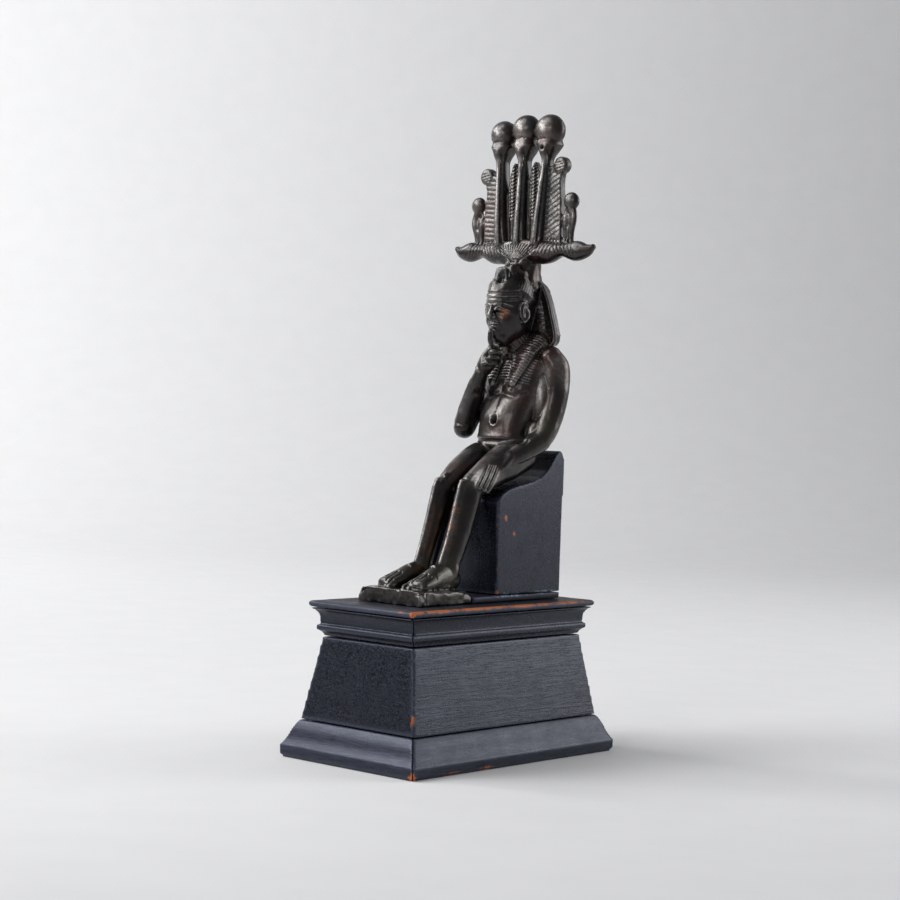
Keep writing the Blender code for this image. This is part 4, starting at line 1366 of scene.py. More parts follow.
@dataclass(frozen=True)
class CastBronze:
    """Cast bronze with a dark brown patina, waxed; the eye gets soft grey lights and pits.

    The patina is nearly black in hollows, from dirt and painted shade, and brown on the broad forms.
    Edges are rubbed to a dull grey metal, and the same grey is painted as highlights on faces turned
    to the lights. Pits left by the casting are 0.4 to 0.8 mm across.
    """

    dark: str = "0d0b0a"
    brown: str = "241b16"
    russet: str = "3c2018"
    olive: str = "39372a"
    copper: str = "c27c4c"
    dirt_and_shade: str = "070605"
    rubbed_and_highlit: str = "8f8b88"
    pit: str = "080605"
    cloud_mm: float = 9.09
    skin_mm: float = 1.111
    pit_mm: float = 0.6
    metallic: float = 0.7
    rough: float = 0.36
    rubbed_rough: float = 0.30
    wax: float = 0.6
    wax_rough: float = 0.2
    skin_depth: float = 0.00014

    def make(self) -> bpy.types.Material:
        """Build the material.

        Returns:
            The material.
        """
        material = bpy.data.materials.new("cast_bronze")
        material.use_nodes = True
        tree = material.node_tree
        shader = tree.nodes["Principled BSDF"]
        places = add_node(tree, "ShaderNodeTexCoord").outputs["Object"]
        broad, fine = (
            add_node(tree, "ShaderNodeTexNoise", values={"Scale": 1000 / pitch, "Detail": detail},
                     links={"Vector": places}).outputs["Fac"]
            for pitch, detail in ((self.cloud_mm, 4.0), (self.skin_mm, 3.0))
        )
        hollow_dirt_and_shade = add_node(tree, "ShaderNodeAttribute", {"attribute_name": "hollow_dirt_and_shade"}).outputs["Fac"]
        rubbed_and_highlit = broken_up(tree, "rubbed_and_highlit", fine, 1.0)
        pit = self.pits(tree, places)
        base = two_tones(tree, self.dark, self.brown, broad, (0.35, 0.65))
        base = lay_over(tree, base, (
            (broken_up(tree, "russet", broad, 0.9), self.russet),
            (broken_up(tree, "olive", broad, 0.9), self.olive),
            (broken_up(tree, "copper", fine, 1.3), self.copper),
            # Hollows near black: dirt and painted shade.
            (hollow_dirt_and_shade, self.dirt_and_shade),
            # Grey metal: real rubbed edges and painted highlights.
            (rubbed_and_highlit, self.rubbed_and_highlit),
            (pit, self.pit),
        ))
        tree.links.new(base, shader.inputs["Base Color"])
        shader.inputs["Metallic"].default_value = self.metallic
        gloss = add_node(tree, "ShaderNodeMapRange",
                         values={1: 0.0, 2: 1.0, 3: self.rough, 4: self.rubbed_rough}, links={0: rubbed_and_highlit})
        tree.links.new(gloss.outputs[0], shader.inputs["Roughness"])
        shader.inputs["Coat Weight"].default_value = self.wax
        shader.inputs["Coat Roughness"].default_value = self.wax_rough
        skin = add_node(tree, "ShaderNodeMath", {"operation": "SUBTRACT"}, links={0: fine, 1: pit})
        bump = add_node(tree, "ShaderNodeBump", values={"Strength": 0.7, "Distance": self.skin_depth},
                        links={"Height": skin.outputs[0]})
        tree.links.new(bump.outputs[0], shader.inputs["Normal"])
        return material

    def pits(self, tree: bpy.types.NodeTree, places: bpy.types.NodeSocket) -> bpy.types.NodeSocket:
        """Scatter round pits where the casting is marked as pitted.

        Args:
            tree: The material's tree.
            places: Places on the object.

        Returns:
            1 in a pit, 0 beside it.
        """
        cells = add_node(tree, "ShaderNodeTexVoronoi", values={"Scale": 1000 / self.pit_mm},
                         links={"Vector": places})
        draw = add_node(tree, "ShaderNodeSeparateColor", links={0: cells.outputs[1]})
        chosen = add_node(tree, "ShaderNodeMath", {"operation": "GREATER_THAN"}, {1: 0.52},
                          {0: draw.outputs[0]})
        near = add_node(tree, "ShaderNodeMapRange", values={1: 0.12, 2: 0.32, 3: 1.0, 4: 0.0},
                        links={0: cells.outputs[0]})
        pitted = add_node(tree, "ShaderNodeAttribute", {"attribute_name": "pitted"}).outputs["Fac"]
        where = add_node(tree, "ShaderNodeMath", {"operation": "MULTIPLY"},
                         links={0: chosen.outputs[0], 1: pitted})
        pit = add_node(tree, "ShaderNodeMath", {"operation": "MULTIPLY"},
                       links={0: near.outputs[0], 1: where.outputs[0]})
        return pit.outputs[0]


@dataclass(frozen=True)
class EbonisedWood:
    """Pearwood stained and lacquered black; the eye gets a cool satin sheen and raised grain.

    The grain stands up in ridges about a millimetre apart along the length. The stain has
    worn through to orange-brown wood on the arrises, and glue shows pale at the seat's foot.
    All arrises are lightened a little: partly wear, partly painted highlight.
    """

    name: str = "ebonised_wood"
    black: str = "090a10"
    grey: str = "191b26"
    fleck: str = "5a6170"
    edge_wear_and_highlight: str = "565b6b"
    bare: str = "b4632c"
    glue: str = "8c9cac"
    sheen: str = "cfd6f0"
    grain_mm: float = 1.1
    fleck_mm: float = 0.714
    cloud_mm: float = 7.69
    stretch: tuple[float, float, float] = (1.0, 0.12, 1.0)
    relief: float = 0.5
    ridge: float = 0.0003
    smooth: float = 0.27
    rough: float = 0.40

    def make(self) -> bpy.types.Material:
        """Build the material.

        Returns:
            The material.
        """
        material = bpy.data.materials.new(self.name)
        material.use_nodes = True
        tree = material.node_tree
        shader = tree.nodes["Principled BSDF"]
        places = add_node(tree, "ShaderNodeTexCoord").outputs["Object"]
        along = add_node(tree, "ShaderNodeMapping", values={"Scale": self.stretch},
                         links={"Vector": places}).outputs[0]
        grain, fine, cloud = (
            add_node(tree, "ShaderNodeTexNoise", values={"Scale": 1000 / pitch, "Detail": 3.0},
                     links={"Vector": way}).outputs["Fac"]
            for pitch, way in ((self.grain_mm, along), (self.fleck_mm, places), (self.cloud_mm, places))
        )
        fleck = add_node(tree, "ShaderNodeMapRange", values={1: 0.68, 2: 0.76, 3: 0.0, 4: 0.5},
                         links={0: fine}).outputs[0]
        base = two_tones(tree, self.black, self.grey, grain, (0.35, 0.7))
        base = lay_over(tree, base, (
            (fleck, self.fleck),
            # Arrises lightened: partly wear, partly painted highlight.
            (broken_up(tree, "edge", fine, 0.35), self.edge_wear_and_highlight),
            (broken_up(tree, "bare", fine, 1.6), self.bare),
            (broken_up(tree, "glue", fine, 1.0), self.glue),
        ))
        tree.links.new(base, shader.inputs["Base Color"])
        uneven = add_node(tree, "ShaderNodeMath", {"operation": "ADD"}, links={0: fine, 1: cloud})
        gloss = add_node(tree, "ShaderNodeMapRange", values={1: 0.75, 2: 1.25, 3: self.smooth, 4: self.rough},
                         links={0: uneven.outputs[0]})
        tree.links.new(gloss.outputs[0], shader.inputs["Roughness"])
        shader.inputs["IOR"].default_value = 1.5
        shader.inputs["Specular Tint"].default_value = linear(self.sheen)
        bump = add_node(tree, "ShaderNodeBump", values={"Strength": self.relief, "Distance": self.ridge},
                        links={"Height": self.ridges(tree, grain)})
        tree.links.new(bump.outputs[0], shader.inputs["Normal"])
        return material

    @staticmethod
    def ridges(tree: bpy.types.NodeTree, grain: bpy.types.NodeSocket) -> bpy.types.NodeSocket:
        """Cut fine pores into the grain.

        Args:
            tree: The material's tree.
            grain: The grain's texture.

        Returns:
            Height of the grain.
        """
        offset = add_node(tree, "ShaderNodeMath", {"operation": "SUBTRACT"}, {1: 0.5}, {0: grain})
        size = add_node(tree, "ShaderNodeMath", {"operation": "ABSOLUTE"}, links={0: offset.outputs[0]})
        line = add_node(tree, "ShaderNodeMapRange", values={1: 0.0, 2: 0.035, 3: 0.0, 4: 1.0},
                        links={0: size.outputs[0]})
        part = add_node(tree, "ShaderNodeMath", {"operation": "MULTIPLY"}, {1: 0.35}, {0: line.outputs[0]})
        height = add_node(tree, "ShaderNodeMath", {"operation": "ADD"},
                          links={0: grain, 1: part.outputs[0]})
        return height.outputs[0]


@dataclass(frozen=True)
class BackdropPaper:
    """Matt paper off the roll; the eye gets one pale grey that is hardly uneven."""

    low: str = "e2e2e2"
    high: str = "e4e4e4"
    cloud_mm: float = 25.0
    rough: float = 0.9

    def make(self) -> bpy.types.Material:
        """Build the material.

        Returns:
            The material.
        """
        material = bpy.data.materials.new("paper")
        material.use_nodes = True
        tree = material.node_tree
        shader = tree.nodes["Principled BSDF"]
        places = add_node(tree, "ShaderNodeTexCoord").outputs["Object"]
        cloud = add_node(tree, "ShaderNodeTexNoise", values={"Scale": 1000 / self.cloud_mm, "Detail": 4.0},
                         links={"Vector": places}).outputs["Fac"]
        tone = two_tones(tree, self.low, self.high, cloud, (0.35, 0.65))
        tree.links.new(tone, shader.inputs["Base Color"])
        shader.inputs["Roughness"].default_value = self.rough
        return material


def ebonised_woods() -> dict[Use, bpy.types.Material]:
    """Make the black woods: grain differs, and base strips are lighter from wear and painted sheen.

    Returns:
        Materials by their use.
    """
    # Base strips: lighter black and grey, partly handling wear, partly painted sheen for the light on their
    # upturned faces.
    worn = {"black": "12141e", "grey": "2a2e3c", "grain_mm": 0.7, "relief": 0.16}
    run = {"grain_mm": 0.7, "relief": 0.16, "smooth": 0.24, "rough": 0.36}
    across, upright = (0.12, 1.0, 1.0), (1.0, 1.0, 0.12)
    woods = {
        Use.BLOCK: EbonisedWood("ebonised_block", grain_mm=0.9, stretch=(1.0, 0.05, 1.0), relief=0.34,
                                smooth=0.20, rough=0.32),
        Use.BOARD: EbonisedWood("ebonised_board", grain_mm=0.7, relief=0.12, smooth=0.42, rough=0.62),
        Use.LONG: EbonisedWood("ebonised_long_moulding", **run),
        Use.CROSS: EbonisedWood("ebonised_cross_moulding", stretch=across, **run),
        Use.LONG_BASE: EbonisedWood("ebonised_long_base", **worn),
        Use.CROSS_BASE: EbonisedWood("ebonised_cross_base", stretch=across, **worn),
        Use.SEAT: EbonisedWood("ebonised_seat", grain_mm=0.6, stretch=upright, relief=0.14,
                               smooth=0.22, rough=0.34),
    }
    return {use: wood.make() for use, wood in woods.items()}


def moulding_tree() -> bpy.types.NodeTree:
    """Build the tree that runs a moulding's section along a side and mitres its ends.

    Returns:
        The tree, with inputs Section, Length, Mitre, Stations and Wood.
    """
    tree = bpy.data.node_groups.new("moulding", "GeometryNodeTree")
    face = tree.interface
    face.new_socket("Section", in_out="INPUT", socket_type="NodeSocketGeometry")
    face.new_socket("Length", in_out="INPUT", socket_type="NodeSocketFloat").default_value = 0.05
    face.new_socket("Mitre", in_out="INPUT", socket_type="NodeSocketFloat").default_value = 1.0
    face.new_socket("Stations", in_out="INPUT", socket_type="NodeSocketInt").default_value = 60
    face.new_socket("Wood", in_out="INPUT", socket_type="NodeSocketMaterial")
    face.new_socket("Strip", in_out="OUTPUT", socket_type="NodeSocketGeometry")
    given = tree.nodes.new("NodeGroupInput")
    half = add_node(tree, "ShaderNodeMath", {"operation": "MULTIPLY"}, {1: 0.5}, {0: given.outputs["Length"]})
    less = add_node(tree, "ShaderNodeMath", {"operation": "MULTIPLY"}, {1: -0.5},
                    {0: given.outputs["Length"]})
    start = add_node(tree, "ShaderNodeCombineXYZ", links={0: less.outputs[0]})
    end = add_node(tree, "ShaderNodeCombineXYZ", links={0: half.outputs[0]})
    line = add_node(tree, "GeometryNodeCurvePrimitiveLine", links={0: start.outputs[0], 1: end.outputs[0]})
    run = add_node(tree, "GeometryNodeResampleCurve",
                   links={0: line.outputs[0], "Count": given.outputs["Stations"]})
    swept = add_node(tree, "GeometryNodeCurveToMesh", values={"Fill Caps": True},
                     links={0: run.outputs[0], 1: given.outputs["Section"]})
    place = add_node(tree, "ShaderNodeSeparateXYZ",
                     links={0: add_node(tree, "GeometryNodeInputPosition").outputs[0]})
    share = add_node(tree, "ShaderNodeMath", {"operation": "DIVIDE"},
                     links={0: place.outputs[0], 1: half.outputs[0]})
    out = add_node(tree, "ShaderNodeMath", {"operation": "MULTIPLY"}, {1: -1.0}, {0: place.outputs[1]})
    reach = add_node(tree, "ShaderNodeMath", {"operation": "MULTIPLY"},
                     links={0: out.outputs[0], 1: given.outputs["Mitre"]})
    shift = add_node(tree, "ShaderNodeMath", {"operation": "MULTIPLY"},
                     links={0: share.outputs[0], 1: reach.outputs[0]})
    offset = add_node(tree, "ShaderNodeCombineXYZ", links={0: shift.outputs[0]})
    mitred = add_node(tree, "GeometryNodeSetPosition",
                      links={0: swept.outputs[0], "Offset": offset.outputs[0]})
    finish = add_node(tree, "GeometryNodeSetMaterial",
                      links={0: mitred.outputs[0], "Material": given.outputs["Wood"]})
    real = add_node(tree, "GeometryNodeRealizeInstances", links={0: finish.outputs[0]})
    add_node(tree, "NodeGroupOutput", links={0: real.outputs[0]})
    return tree


@dataclass
class Joinery:
    """What all wooden pieces share: they are softened at the arrises and marked where worn."""

    arris: float = 0.008
    worn: tuple[Spot, ...] = (
        ((0.0256, -0.0504, 0.0558), (0.0012, 0.0013, 0.0012), 1.5),
        ((0.0256, -0.0380, 0.0567), (0.0012, 0.0150, 0.0008), 1.7),
        ((0.0256, -0.0140, 0.0567), (0.0012, 0.0140, 0.0008), 1.3),
        ((0.0256, 0.0100, 0.0567), (0.0012, 0.0130, 0.0008), 1.5),
        ((0.0256, 0.0340, 0.0567), (0.0012, 0.0110, 0.0008), 1.0),
        ((0.0200, -0.0504, 0.0566), (0.0050, 0.0008, 0.0007), 0.5),
        ((0.0263, -0.0491, 0.0215), (0.0007, 0.0007, 0.0070), 0.45),
        ((0.0330, -0.0555, 0.0012), (0.0018, 0.0018, 0.0014), 1.5),
        ((0.0330, -0.0350, 0.0005), (0.0010, 0.0060, 0.0007), 0.8),
        ((0.0330, -0.0170, 0.0005), (0.0010, 0.0040, 0.0008), 1.3),
        ((0.0155, 0.0045, 0.0880), (0.0008, 0.0006, 0.0070), 0.28),
        ((0.0155, 0.0045, 0.0680), (0.0008, 0.0006, 0.0030), 0.35),
    )
    chips: tuple[Spot, ...] = (
        ((0.0155, 0.0089, 0.0873), (0.0008, 0.0007, 0.0011), 0.45),
        ((0.0155, 0.0137, 0.0814), (0.0008, 0.0008, 0.0008), 0.45),
        ((0.0155, 0.0052, 0.0601), (0.0008, 0.0006, 0.0008), 0.5),
        ((-0.0222, -0.0270, 0.0568), (0.0024, 0.0030, 0.0008), 0.3),
    )
    glued: tuple[Spot, ...] = (
        ((0.0155, 0.0120, 0.0590), (0.0008, 0.0100, 0.0007), 0.9),
        ((0.0155, 0.0330, 0.0594), (0.0008, 0.0090, 0.0006), 0.9),
        ((0.0240, -0.0100, 0.0568), (0.0030, 0.0120, 0.0010), 0.25),
    )

    @staticmethod
    def near_spots(places: np.ndarray, spots: tuple[Spot, ...]) -> np.ndarray:
        """Weigh places by how near they are to marked spots.

        Args:
            places: The places, one to a row.
            spots: Centre, half sizes and strength of each spot.

        Returns:
            The strongest weight at each place.
        """
        weight = np.zeros(len(places))
        for centre, radii, strength in spots:
            share = np.linalg.norm((places - np.array(centre)) / np.array(radii), axis=1)
            weight = np.maximum(weight, strength * np.exp(-share ** 2))
        return weight

    def finish(self, item: bpy.types.Object, voxel: float, wood: bpy.types.Material) -> None:
        """Soften, wear and dress a wooden piece.

        Args:
            item: The sharp solid.
            voxel: Grid size in metres.
            wood: Its material.
        """
        remesh = item.modifiers.new("Even", "REMESH")
        remesh.mode = "VOXEL"
        remesh.voxel_size = voxel
        smooth = item.modifiers.new("Soften", "SMOOTH")
        smooth.factor = 0.5
        smooth.iterations = 1
        settle(item)
        relief = Relief(item.data)
        edges = np.clip(-relief.hollows(4) / self.arris, 0, 1)
        relief.lift -= edges * self.arris * (1 + lumps(relief.places, 0.004, 11)) * 0.5
        relief.press()
        bare = self.near_spots(relief.places, self.worn) * np.clip(3 * edges, 0, 1)
        bare = np.maximum(bare, self.near_spots(relief.places, self.chips))
        broken = 1 + 0.65 * lumps(relief.places, 0.0018, 41) + 0.5 * lumps(relief.places, 0.0006, 43)
        mark(item.data, "bare", np.clip(2.6 * bare * broken - 0.35, 0, 1))
        glue = self.near_spots(relief.places, self.glued)
        dabs = 1 + 1.6 * lumps(relief.places, 0.0008, 47)
        mark(item.data, "glue", np.clip(2.0 * glue * dabs - 0.7, 0, 1))
        # Convex arrises, which the wood lightens: partly wear, partly painted highlight.
        mark(item.data, "edge", edges)
        item.data.materials.clear()
        item.data.materials.append(wood)
        item.data.shade_smooth()


@dataclass
class Plinth(Joinery):
    """Tapered block, mitred mouldings and a top board with a rounded nosing."""

    top_width: float = 0.0512
    top_depth: float = 0.1008
    base_height: float = 0.0134
    body_height: float = 0.0305
    cornice_height: float = 0.0100
    board: float = 0.0026
    batter: tuple[float, float] = (0.0055, 0.0045)
    cornice_over: tuple[float, float] = (0.0034, 0.0047)
    base_over: tuple[float, float] = (0.0053, 0.0053)
    seating: float = 0.0040
    base_edge: float = 0.0042
    base_undercut: float = 0.0010
    block_grid: float = 0.0006
    base_grid: float = 0.0004
    cornice_grid: float = 0.00032
    board_grid: float = 0.00045

    @staticmethod
    def stack(name: str, levels: list[tuple[float, float, float]]) -> bpy.types.Object:
        """Build a solid of level rectangles.

        Args:
            name: Name of the piece.
            levels: Half width, half depth and height of each, from the bottom up.

        Returns:
            The solid.
        """
        clay = Clay()
        rings = []
        for wide, deep, z in levels:
            corners = ((-wide, -deep), (wide, -deep), (wide, deep), (-wide, deep))
            rings.append([clay.bm.verts.new((x, y, z)) for x, y in corners])
        clay.bridge(rings)
        bmesh.ops.recalc_face_normals(clay.bm, faces=clay.bm.faces)
        return show(name, to_mesh(clay.bm, name))

    def cornice_section(self) -> list[tuple[float, float]]:
        """Draw the outline of a cornice strip.

        Returns:
            Share of the overhang and height above its foot, from the foot up.
        """
        tall = self.cornice_height
        points = [(-0.04, 0.0), (0.05, 0.10 * tall)]
        for angle in range(-100, 101, 20):
            out, up = math.cos(math.radians(angle)), math.sin(math.radians(angle))
            points.append((0.34 + 0.143 * out, tall * (0.30 + 0.11 * up)))
        points.append((0.22, 0.42 * tall))
        for angle in range(0, 91, 10):
            out, up = 1 - math.cos(math.radians(angle)), math.sin(math.radians(angle))
            points.append((0.22 + 0.60 * out, tall * (0.52 + 0.44 * up)))
        return points + [(0.82, tall)]

    def base_section(self) -> list[tuple[float, float]]:
        """Draw the outline of a base strip.

        Returns:
            Share of the overhang and height above the floor, from the floor up.
        """
        points = [(1.0 - self.base_undercut / self.base_over[0], 0.0), (0.97, 0.3 * self.base_edge)]
        for step in range(13):
            up = step / 12
            out = 1.0 - 0.94 * up - 0.05 * math.sin(2 * math.pi * up)
            points.append((out, self.base_edge + (self.base_height - self.base_edge) * up))
        return points

    def strip(self, name: str, place: Place, section: list[tuple[float, float]], foot: float,
              half: tuple[float, float], over: tuple[float, float], wood: bpy.types.Material,
              tree: bpy.types.NodeTree) -> bpy.types.Object:
        """Run one mitred strip along a side of the block.

        Args:
            name: Name of the piece.
            place: The side.
            section: Outline as shares of the overhang and heights.
            foot: Height of the strip's underside.
            half: Half width and half depth of the block there.
            over: Overhang at the sides and at the ends.
            wood: Its material.
            tree: The moulding tree.

        Returns:
            The strip.
        """
        across = place in (Place.FRONT, Place.BACK)
        half_run, outward = (half[0], half[1]) if across else (half[1], half[0])
        over_run, over_out = (over[0], over[1]) if across else (over[1], over[0])
        inner = self.seating - GAP
        outline = [(share * over_out, z) for share, z in section]
        outline += [(-inner, outline[-1][1]), (-inner, outline[0][1])]
        curve = bpy.data.curves.new(name, "CURVE")
        curve.dimensions = "3D"
        spline = curve.splines.new("POLY")
        spline.points.add(len(outline) - 1)
        for point, (out, z) in zip(spline.points, outline):
            point.co = (out, -z, 0.0, 1.0)
        spline.use_cyclic_u = True
        rail = bpy.data.objects.new(name, curve)
        bpy.context.scene.collection.objects.link(rail)
        modifier = rail.modifiers.new("Moulding", "NODES")
        modifier.node_group = tree
        given = {"Length": 2 * half_run - GAP, "Mitre": over_run / over_out, "Stations": 80, "Wood": wood}
        for socket in tree.interface.items_tree:
            if socket.name in given:
                modifier[socket.identifier] = given[socket.name]
        graph = bpy.context.evaluated_depsgraph_get()
        mesh = bpy.data.meshes.new_from_object(rail.evaluated_get(graph))
        rail.modifiers.clear()
        bpy.data.objects.remove(rail, do_unlink=True)
        turn = Matrix.Rotation(math.radians(90 * place.value), 4, "Z")
        mesh.transform(turn @ Matrix.Translation((0, -outward, foot)))
        clean = bmesh.new()
        clean.from_mesh(mesh)
        bmesh.ops.remove_doubles(clean, verts=clean.verts, dist=1e-6)
        bmesh.ops.recalc_face_normals(clean, faces=clean.faces)
        clean.to_mesh(mesh)
        clean.free()
        return show(name, mesh)

    def build(self, woods: dict[Use, bpy.types.Material]) -> None:
        """Make every piece of the plinth.

        Args:
            woods: The black woods by their use.
        """
        body = (self.top_width / 2 - self.cornice_over[0], self.top_depth / 2 - self.cornice_over[1])
        foot = (body[0] + self.batter[0], body[1] + self.batter[1])
        self.build_block(body, foot, woods[Use.BLOCK])
        tree = moulding_tree()
        for place in Place:
            self.build_side(place, body, foot, woods, tree)
        self.build_board(woods[Use.BOARD])

    @property
    def shoulder(self) -> float:
        """Height of the block's upper edge, where the cornice starts."""
        return self.base_height + self.body_height

    @property
    def board_foot(self) -> float:
        """Height of the top board's underside."""
        return self.shoulder + self.cornice_height

    def build_block(self, body: tuple[float, float], foot: tuple[float, float],
                    wood: bpy.types.Material) -> None:
        """Make the tapered block, set back where the strips are let in.

        Args:
            body: Half width and half depth at its shoulder.
            foot: Half width and half depth above the base strips.
            wood: Its material.
        """
        seat = self.seating
        block = self.stack("block", [
            (foot[0] - seat, foot[1] - seat, 0.0),
            (foot[0] - seat, foot[1] - seat, self.base_height + GAP),
            (foot[0], foot[1], self.base_height + GAP),
            (body[0], body[1], self.shoulder - GAP),
            (body[0] - seat, body[1] - seat, self.shoulder - GAP),
            (body[0] - seat, body[1] - seat, self.board_foot - GAP),
        ])
        self.finish(block, self.block_grid, wood)
        hand_over(block, "plinth_wood", "plinth_block")

    def build_side(self, place: Place, body: tuple[float, float], foot: tuple[float, float],
                   woods: dict[Use, bpy.types.Material], tree: bpy.types.NodeTree) -> None:
        """Make the base strip and the cornice strip of one side.

        Args:
            place: The side.
            body: Half width and half depth of the block at its shoulder.
            foot: Half width and half depth of the block above the base strips.
            woods: The black woods by their use.
            tree: The moulding tree.
        """
        across = place in (Place.FRONT, Place.BACK)
        wood = woods[Use.CROSS if across else Use.LONG]
        # Base strips take the lighter wood: handling wear and painted sheen.
        base_wood_worn_and_sheened = woods[Use.CROSS_BASE if across else Use.LONG_BASE]
        word = place.name.lower()
        base = self.strip("base_" + word, place, self.base_section(), 0.0, foot, self.base_over,
                          base_wood_worn_and_sheened, tree)
        self.finish(base, self.base_grid, base_wood_worn_and_sheened)
        hand_over(base, "moulding_wood", "base_moulding_" + word)
        crown = self.strip("crown_" + word, place, self.cornice_section(), self.shoulder, body,
                           self.cornice_over, wood, tree)
        self.finish(crown, self.cornice_grid, wood)
        hand_over(crown, "moulding_wood", "cornice_" + word)

    def build_board(self, wood: bpy.types.Material) -> None:
        """Make the top board with its rounded nosing.

        Args:
            wood: Its material.
        """
        levels = []
        for step in range(9):
            angle = math.radians(-80 + 155 * step / 8)
            inset = self.board / 2 * (1 - math.cos(angle))
            z = self.board / 2 * (1 + math.sin(angle))
            level = self.board_foot + GAP + z * (1 - GAP / self.board)
            levels.append((self.top_width / 2 - inset, self.top_depth / 2 - inset, level))
        levels.append((self.top_width / 2 - self.board, self.top_depth / 2 - self.board,
                       self.board_foot + self.board))
        board = self.stack("top_board_piece", levels)
        self.finish(board, self.board_grid, wood)
        hand_over(board, "plinth_wood", "top_board")


@dataclass
class Seat(Joinery):
    """The sawn seat block with a hollowed top, and the thin board it is glued to."""

    half_width: float = 0.0155
    board: float = 0.0022
    outline: tuple[tuple[float, float], ...] = (
        (0.52, 0.0), (0.46, 3.60), (0.52, 3.76), (0.71, 3.92), (1.00, 4.08), (1.60, 4.23), (2.30, 4.36),
        (2.85, 4.53), (3.24, 4.80), (3.50, 5.12), (3.72, 5.42), (3.84, 5.52), (3.96, 5.53), (4.08, 5.42),
        (4.19, 5.15), (4.14, 3.0), (4.11, 0.0),
    )
    board_front: float = -0.78
    board_rear: float = 4.14
    block_grid: float = 0.0005
    board_grid: float = 0.0004

    def build(self, woods: dict[Use, bpy.types.Material]) -> None:
        """Make the seat block and its board.

        Args:
            woods: The black woods by their use.
        """
        top = FIGURE_Z + self.board
        self.build_board(top, woods[Use.BOARD])
        self.build_block(top, woods[Use.SEAT])

    def build_board(self, top: float, wood: bpy.types.Material) -> None:
        """Make the thin board, butted against the foot block.

        Args:
            top: Height of its upper face.
            wood: Its material.
        """
        front = FIGURE_Y + self.board_front * UNIT + GAP
        rear = FIGURE_Y + self.board_rear * UNIT
        bm = bmesh.new()
        place = Matrix.Translation((0, (front + rear) / 2, top - self.board / 2))
        size = Matrix.Diagonal((2 * self.half_width, rear - front, self.board, 1))
        bmesh.ops.create_cube(bm, size=1.0, matrix=place @ size)
        board = show("seat_board_piece", to_mesh(bm, "seat_board_piece"))
        self.finish(board, self.board_grid, wood)
        hand_over(board, "seat_wood", "seat_board")

    def build_block(self, foot: float, wood: bpy.types.Material) -> None:
        """Make the sawn block from its side outline.

        Args:
            foot: Height of what it stands on.
            wood: Its material.
        """
        bm = bmesh.new()
        ring = []
        for y, z in self.outline:
            height = max(FIGURE_Z + z * UNIT, foot + GAP)
            ring.append(bm.verts.new((-self.half_width, FIGURE_Y + y * UNIT, height)))
        grown = bmesh.ops.extrude_face_region(bm, geom=[bm.faces.new(ring)])
        moved = [item for item in grown["geom"] if isinstance(item, bmesh.types.BMVert)]
        bmesh.ops.translate(bm, verts=moved, vec=(2 * self.half_width, 0, 0))
        bmesh.ops.recalc_face_normals(bm, faces=bm.faces)
        block = show("seat_block_piece", to_mesh(bm, "seat_block_piece"))
        self.finish(block, self.block_grid, wood)
        hand_over(block, "seat_wood", "seat_block")


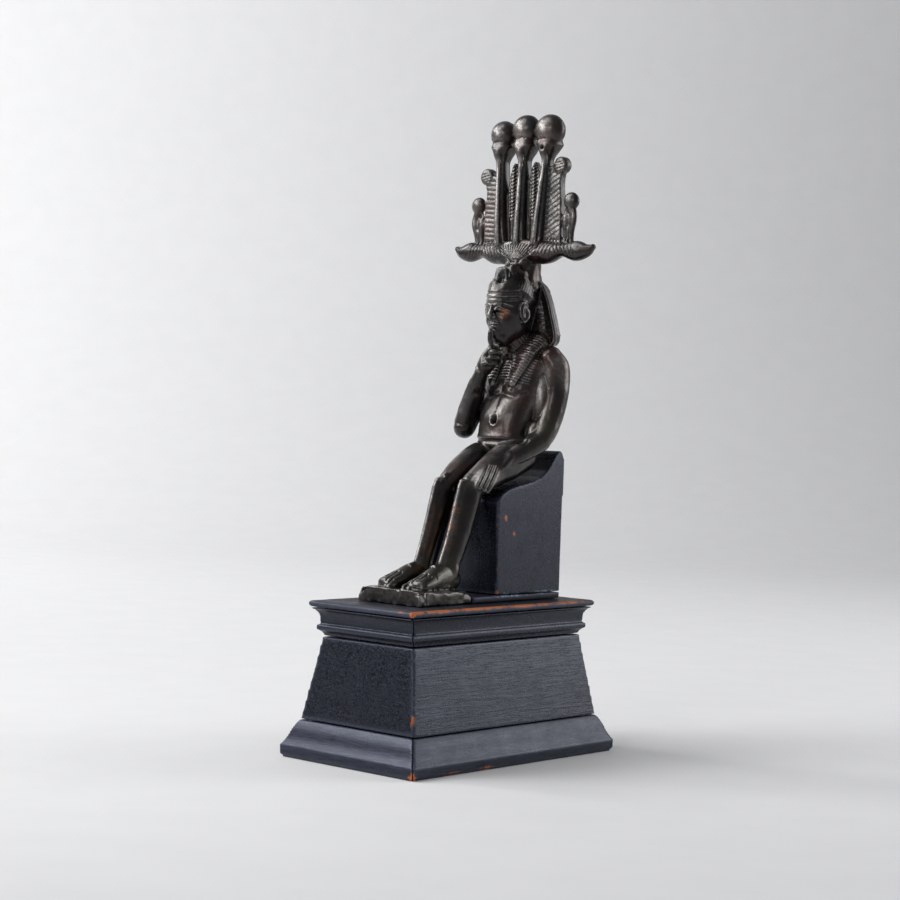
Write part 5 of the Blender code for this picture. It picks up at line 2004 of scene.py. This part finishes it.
@dataclass
class Studio:
    """Pale floor and backdrop, soft light and the camera."""

    azimuth: float = 42.06
    elevation: float = 1.0
    roll: float = 1.94
    distance: float = 0.7655
    aim: tuple[float, float] = (-0.00383, 0.1114)
    focal_px: float = 2088.0
    paper_front: float = -1.4
    paper_back: float = 1.0
    paper_half_width: float = 2.4
    bend: float = 0.8
    paper_height: float = 2.6
    air: str = "e6e8ee"
    air_strength: float = 0.29

    def build(self) -> None:
        """Set up floor, lights, world and camera."""
        self.floor()
        self.lights()
        self.camera()

    def floor(self) -> None:
        """Make the floor and a curved backdrop behind the object."""
        bm = bmesh.new()
        turn = math.radians(self.azimuth)
        back = Vector((-math.sin(turn), math.cos(turn), 0))
        side = Vector((math.cos(turn), math.sin(turn), 0))
        rows = [(self.paper_front, 0.0), (self.paper_back, 0.0)]
        for angle in (math.radians(step) for step in range(6, 91, 6)):
            rows.append((self.paper_back + self.bend * math.sin(angle), self.bend * (1 - math.cos(angle))))
        rows.append((self.paper_back + self.bend, self.paper_height))
        edges = (-self.paper_half_width, self.paper_half_width)
        previous = None
        for depth, z in rows:
            line = [bm.verts.new(back * depth + side * x + Vector((0, 0, z))) for x in edges]
            if previous:
                bm.faces.new((previous[0], previous[1], line[1], line[0]))
            previous = line
        mesh = to_mesh(bm, "floor")
        mesh.materials.append(BackdropPaper().make())
        mesh.shade_smooth()
        show("floor", mesh)

    def lights(self) -> None:
        """Hang a softbox left of the camera, one above, a panel on the right and a backdrop light."""
        world = bpy.data.worlds.new("room")
        bpy.context.scene.world = world
        world.use_nodes = True
        background = world.node_tree.nodes["Background"]
        background.inputs[0].default_value = linear(self.air)
        background.inputs[1].default_value = self.air_strength
        turn = math.radians(self.azimuth)
        right = Vector((math.cos(turn), math.sin(turn), 0))
        near = Vector((math.sin(turn), -math.cos(turn), 0))
        for name, place, aim, size, power in (
            ("left_softbox", (-0.78, 0.00, 0.66), (0.0, 0.05, 0.05), 0.5, 2.7),
            ("top_softbox", (-0.60, 0.10, 1.10), (-0.1, 0.0, 0.0), 0.6, 3.0),
            ("right_panel", (0.90, -0.15, 0.32), (0.0, 0.0, 0.08), 0.5, 2.1),
            ("right_softbox", (0.75, -0.30, 0.55), (0.0, 0.0, 0.05), 0.5, 1.1),
            ("key", (-0.50, 0.85, 0.45), (0.0, 0.0, 0.15), 0.3, 1.0),
            ("near_card", (-0.40, 0.12, 0.34), (0.0, 0.0, 0.19), 0.2, 0.7),
            ("backdrop_high", (-1.00, -0.50, 0.90), (-0.1, -1.8, 0.5), 0.6, 13.8),
            ("backdrop_left", (-1.10, -1.00, 0.70), (-0.4, -1.8, 0.4), 0.5, 1.9),
        ):
            light = bpy.data.lights.new(name, "AREA")
            light.size = size
            light.energy = power
            item = bpy.data.objects.new(name, light)
            bpy.context.scene.collection.objects.link(item)
            item.location = right * place[0] + near * place[1] + Vector((0, 0, place[2]))
            target = right * aim[0] + near * aim[1] + Vector((0, 0, aim[2]))
            item.rotation_euler = (target - item.location).to_track_quat("-Z", "Y").to_euler()

    def camera(self) -> None:
        """Stand the camera where the photograph was taken from."""
        turn, lift, roll = (math.radians(value) for value in (self.azimuth, self.elevation, self.roll))
        back = Vector((math.sin(turn) * math.cos(lift), -math.cos(turn) * math.cos(lift), math.sin(lift)))
        level = Vector((math.cos(turn), math.sin(turn), 0))
        above = back.cross(level)
        right = level * math.cos(roll) + above * math.sin(roll)
        up = above * math.cos(roll) - level * math.sin(roll)
        place = level * self.aim[0] + Vector((0, 0, self.aim[1])) + back * self.distance
        camera = bpy.data.cameras.new("camera")
        camera.sensor_width = SENSOR_MM
        camera.lens = self.focal_px / FRAME_PX * SENSOR_MM
        camera.clip_start = 0.01
        item = bpy.data.objects.new("camera", camera)
        item.matrix_world = Matrix([
            (right.x, up.x, back.x, place.x),
            (right.y, up.y, back.y, place.y),
            (right.z, up.z, back.z, place.z),
            (0, 0, 0, 1),
        ])
        bpy.context.scene.collection.objects.link(item)
        bpy.context.scene.camera = item


def main() -> None:
    """Build every piece in order and put it in the studio."""
    logging.basicConfig(level=logging.INFO, format="%(message)s")
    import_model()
    woods = ebonised_woods()
    Plinth().build(woods)
    Seat().build(woods)
    casting = Statuette().build()
    casting.data.materials.clear()
    casting.data.materials.append(CastBronze().make())
    hand_over(casting, "bronze", "bronze_statuette")
    Studio().build()
    bpy.context.scene.view_settings.view_transform = "Standard"


if __name__ == "__main__":
    main()
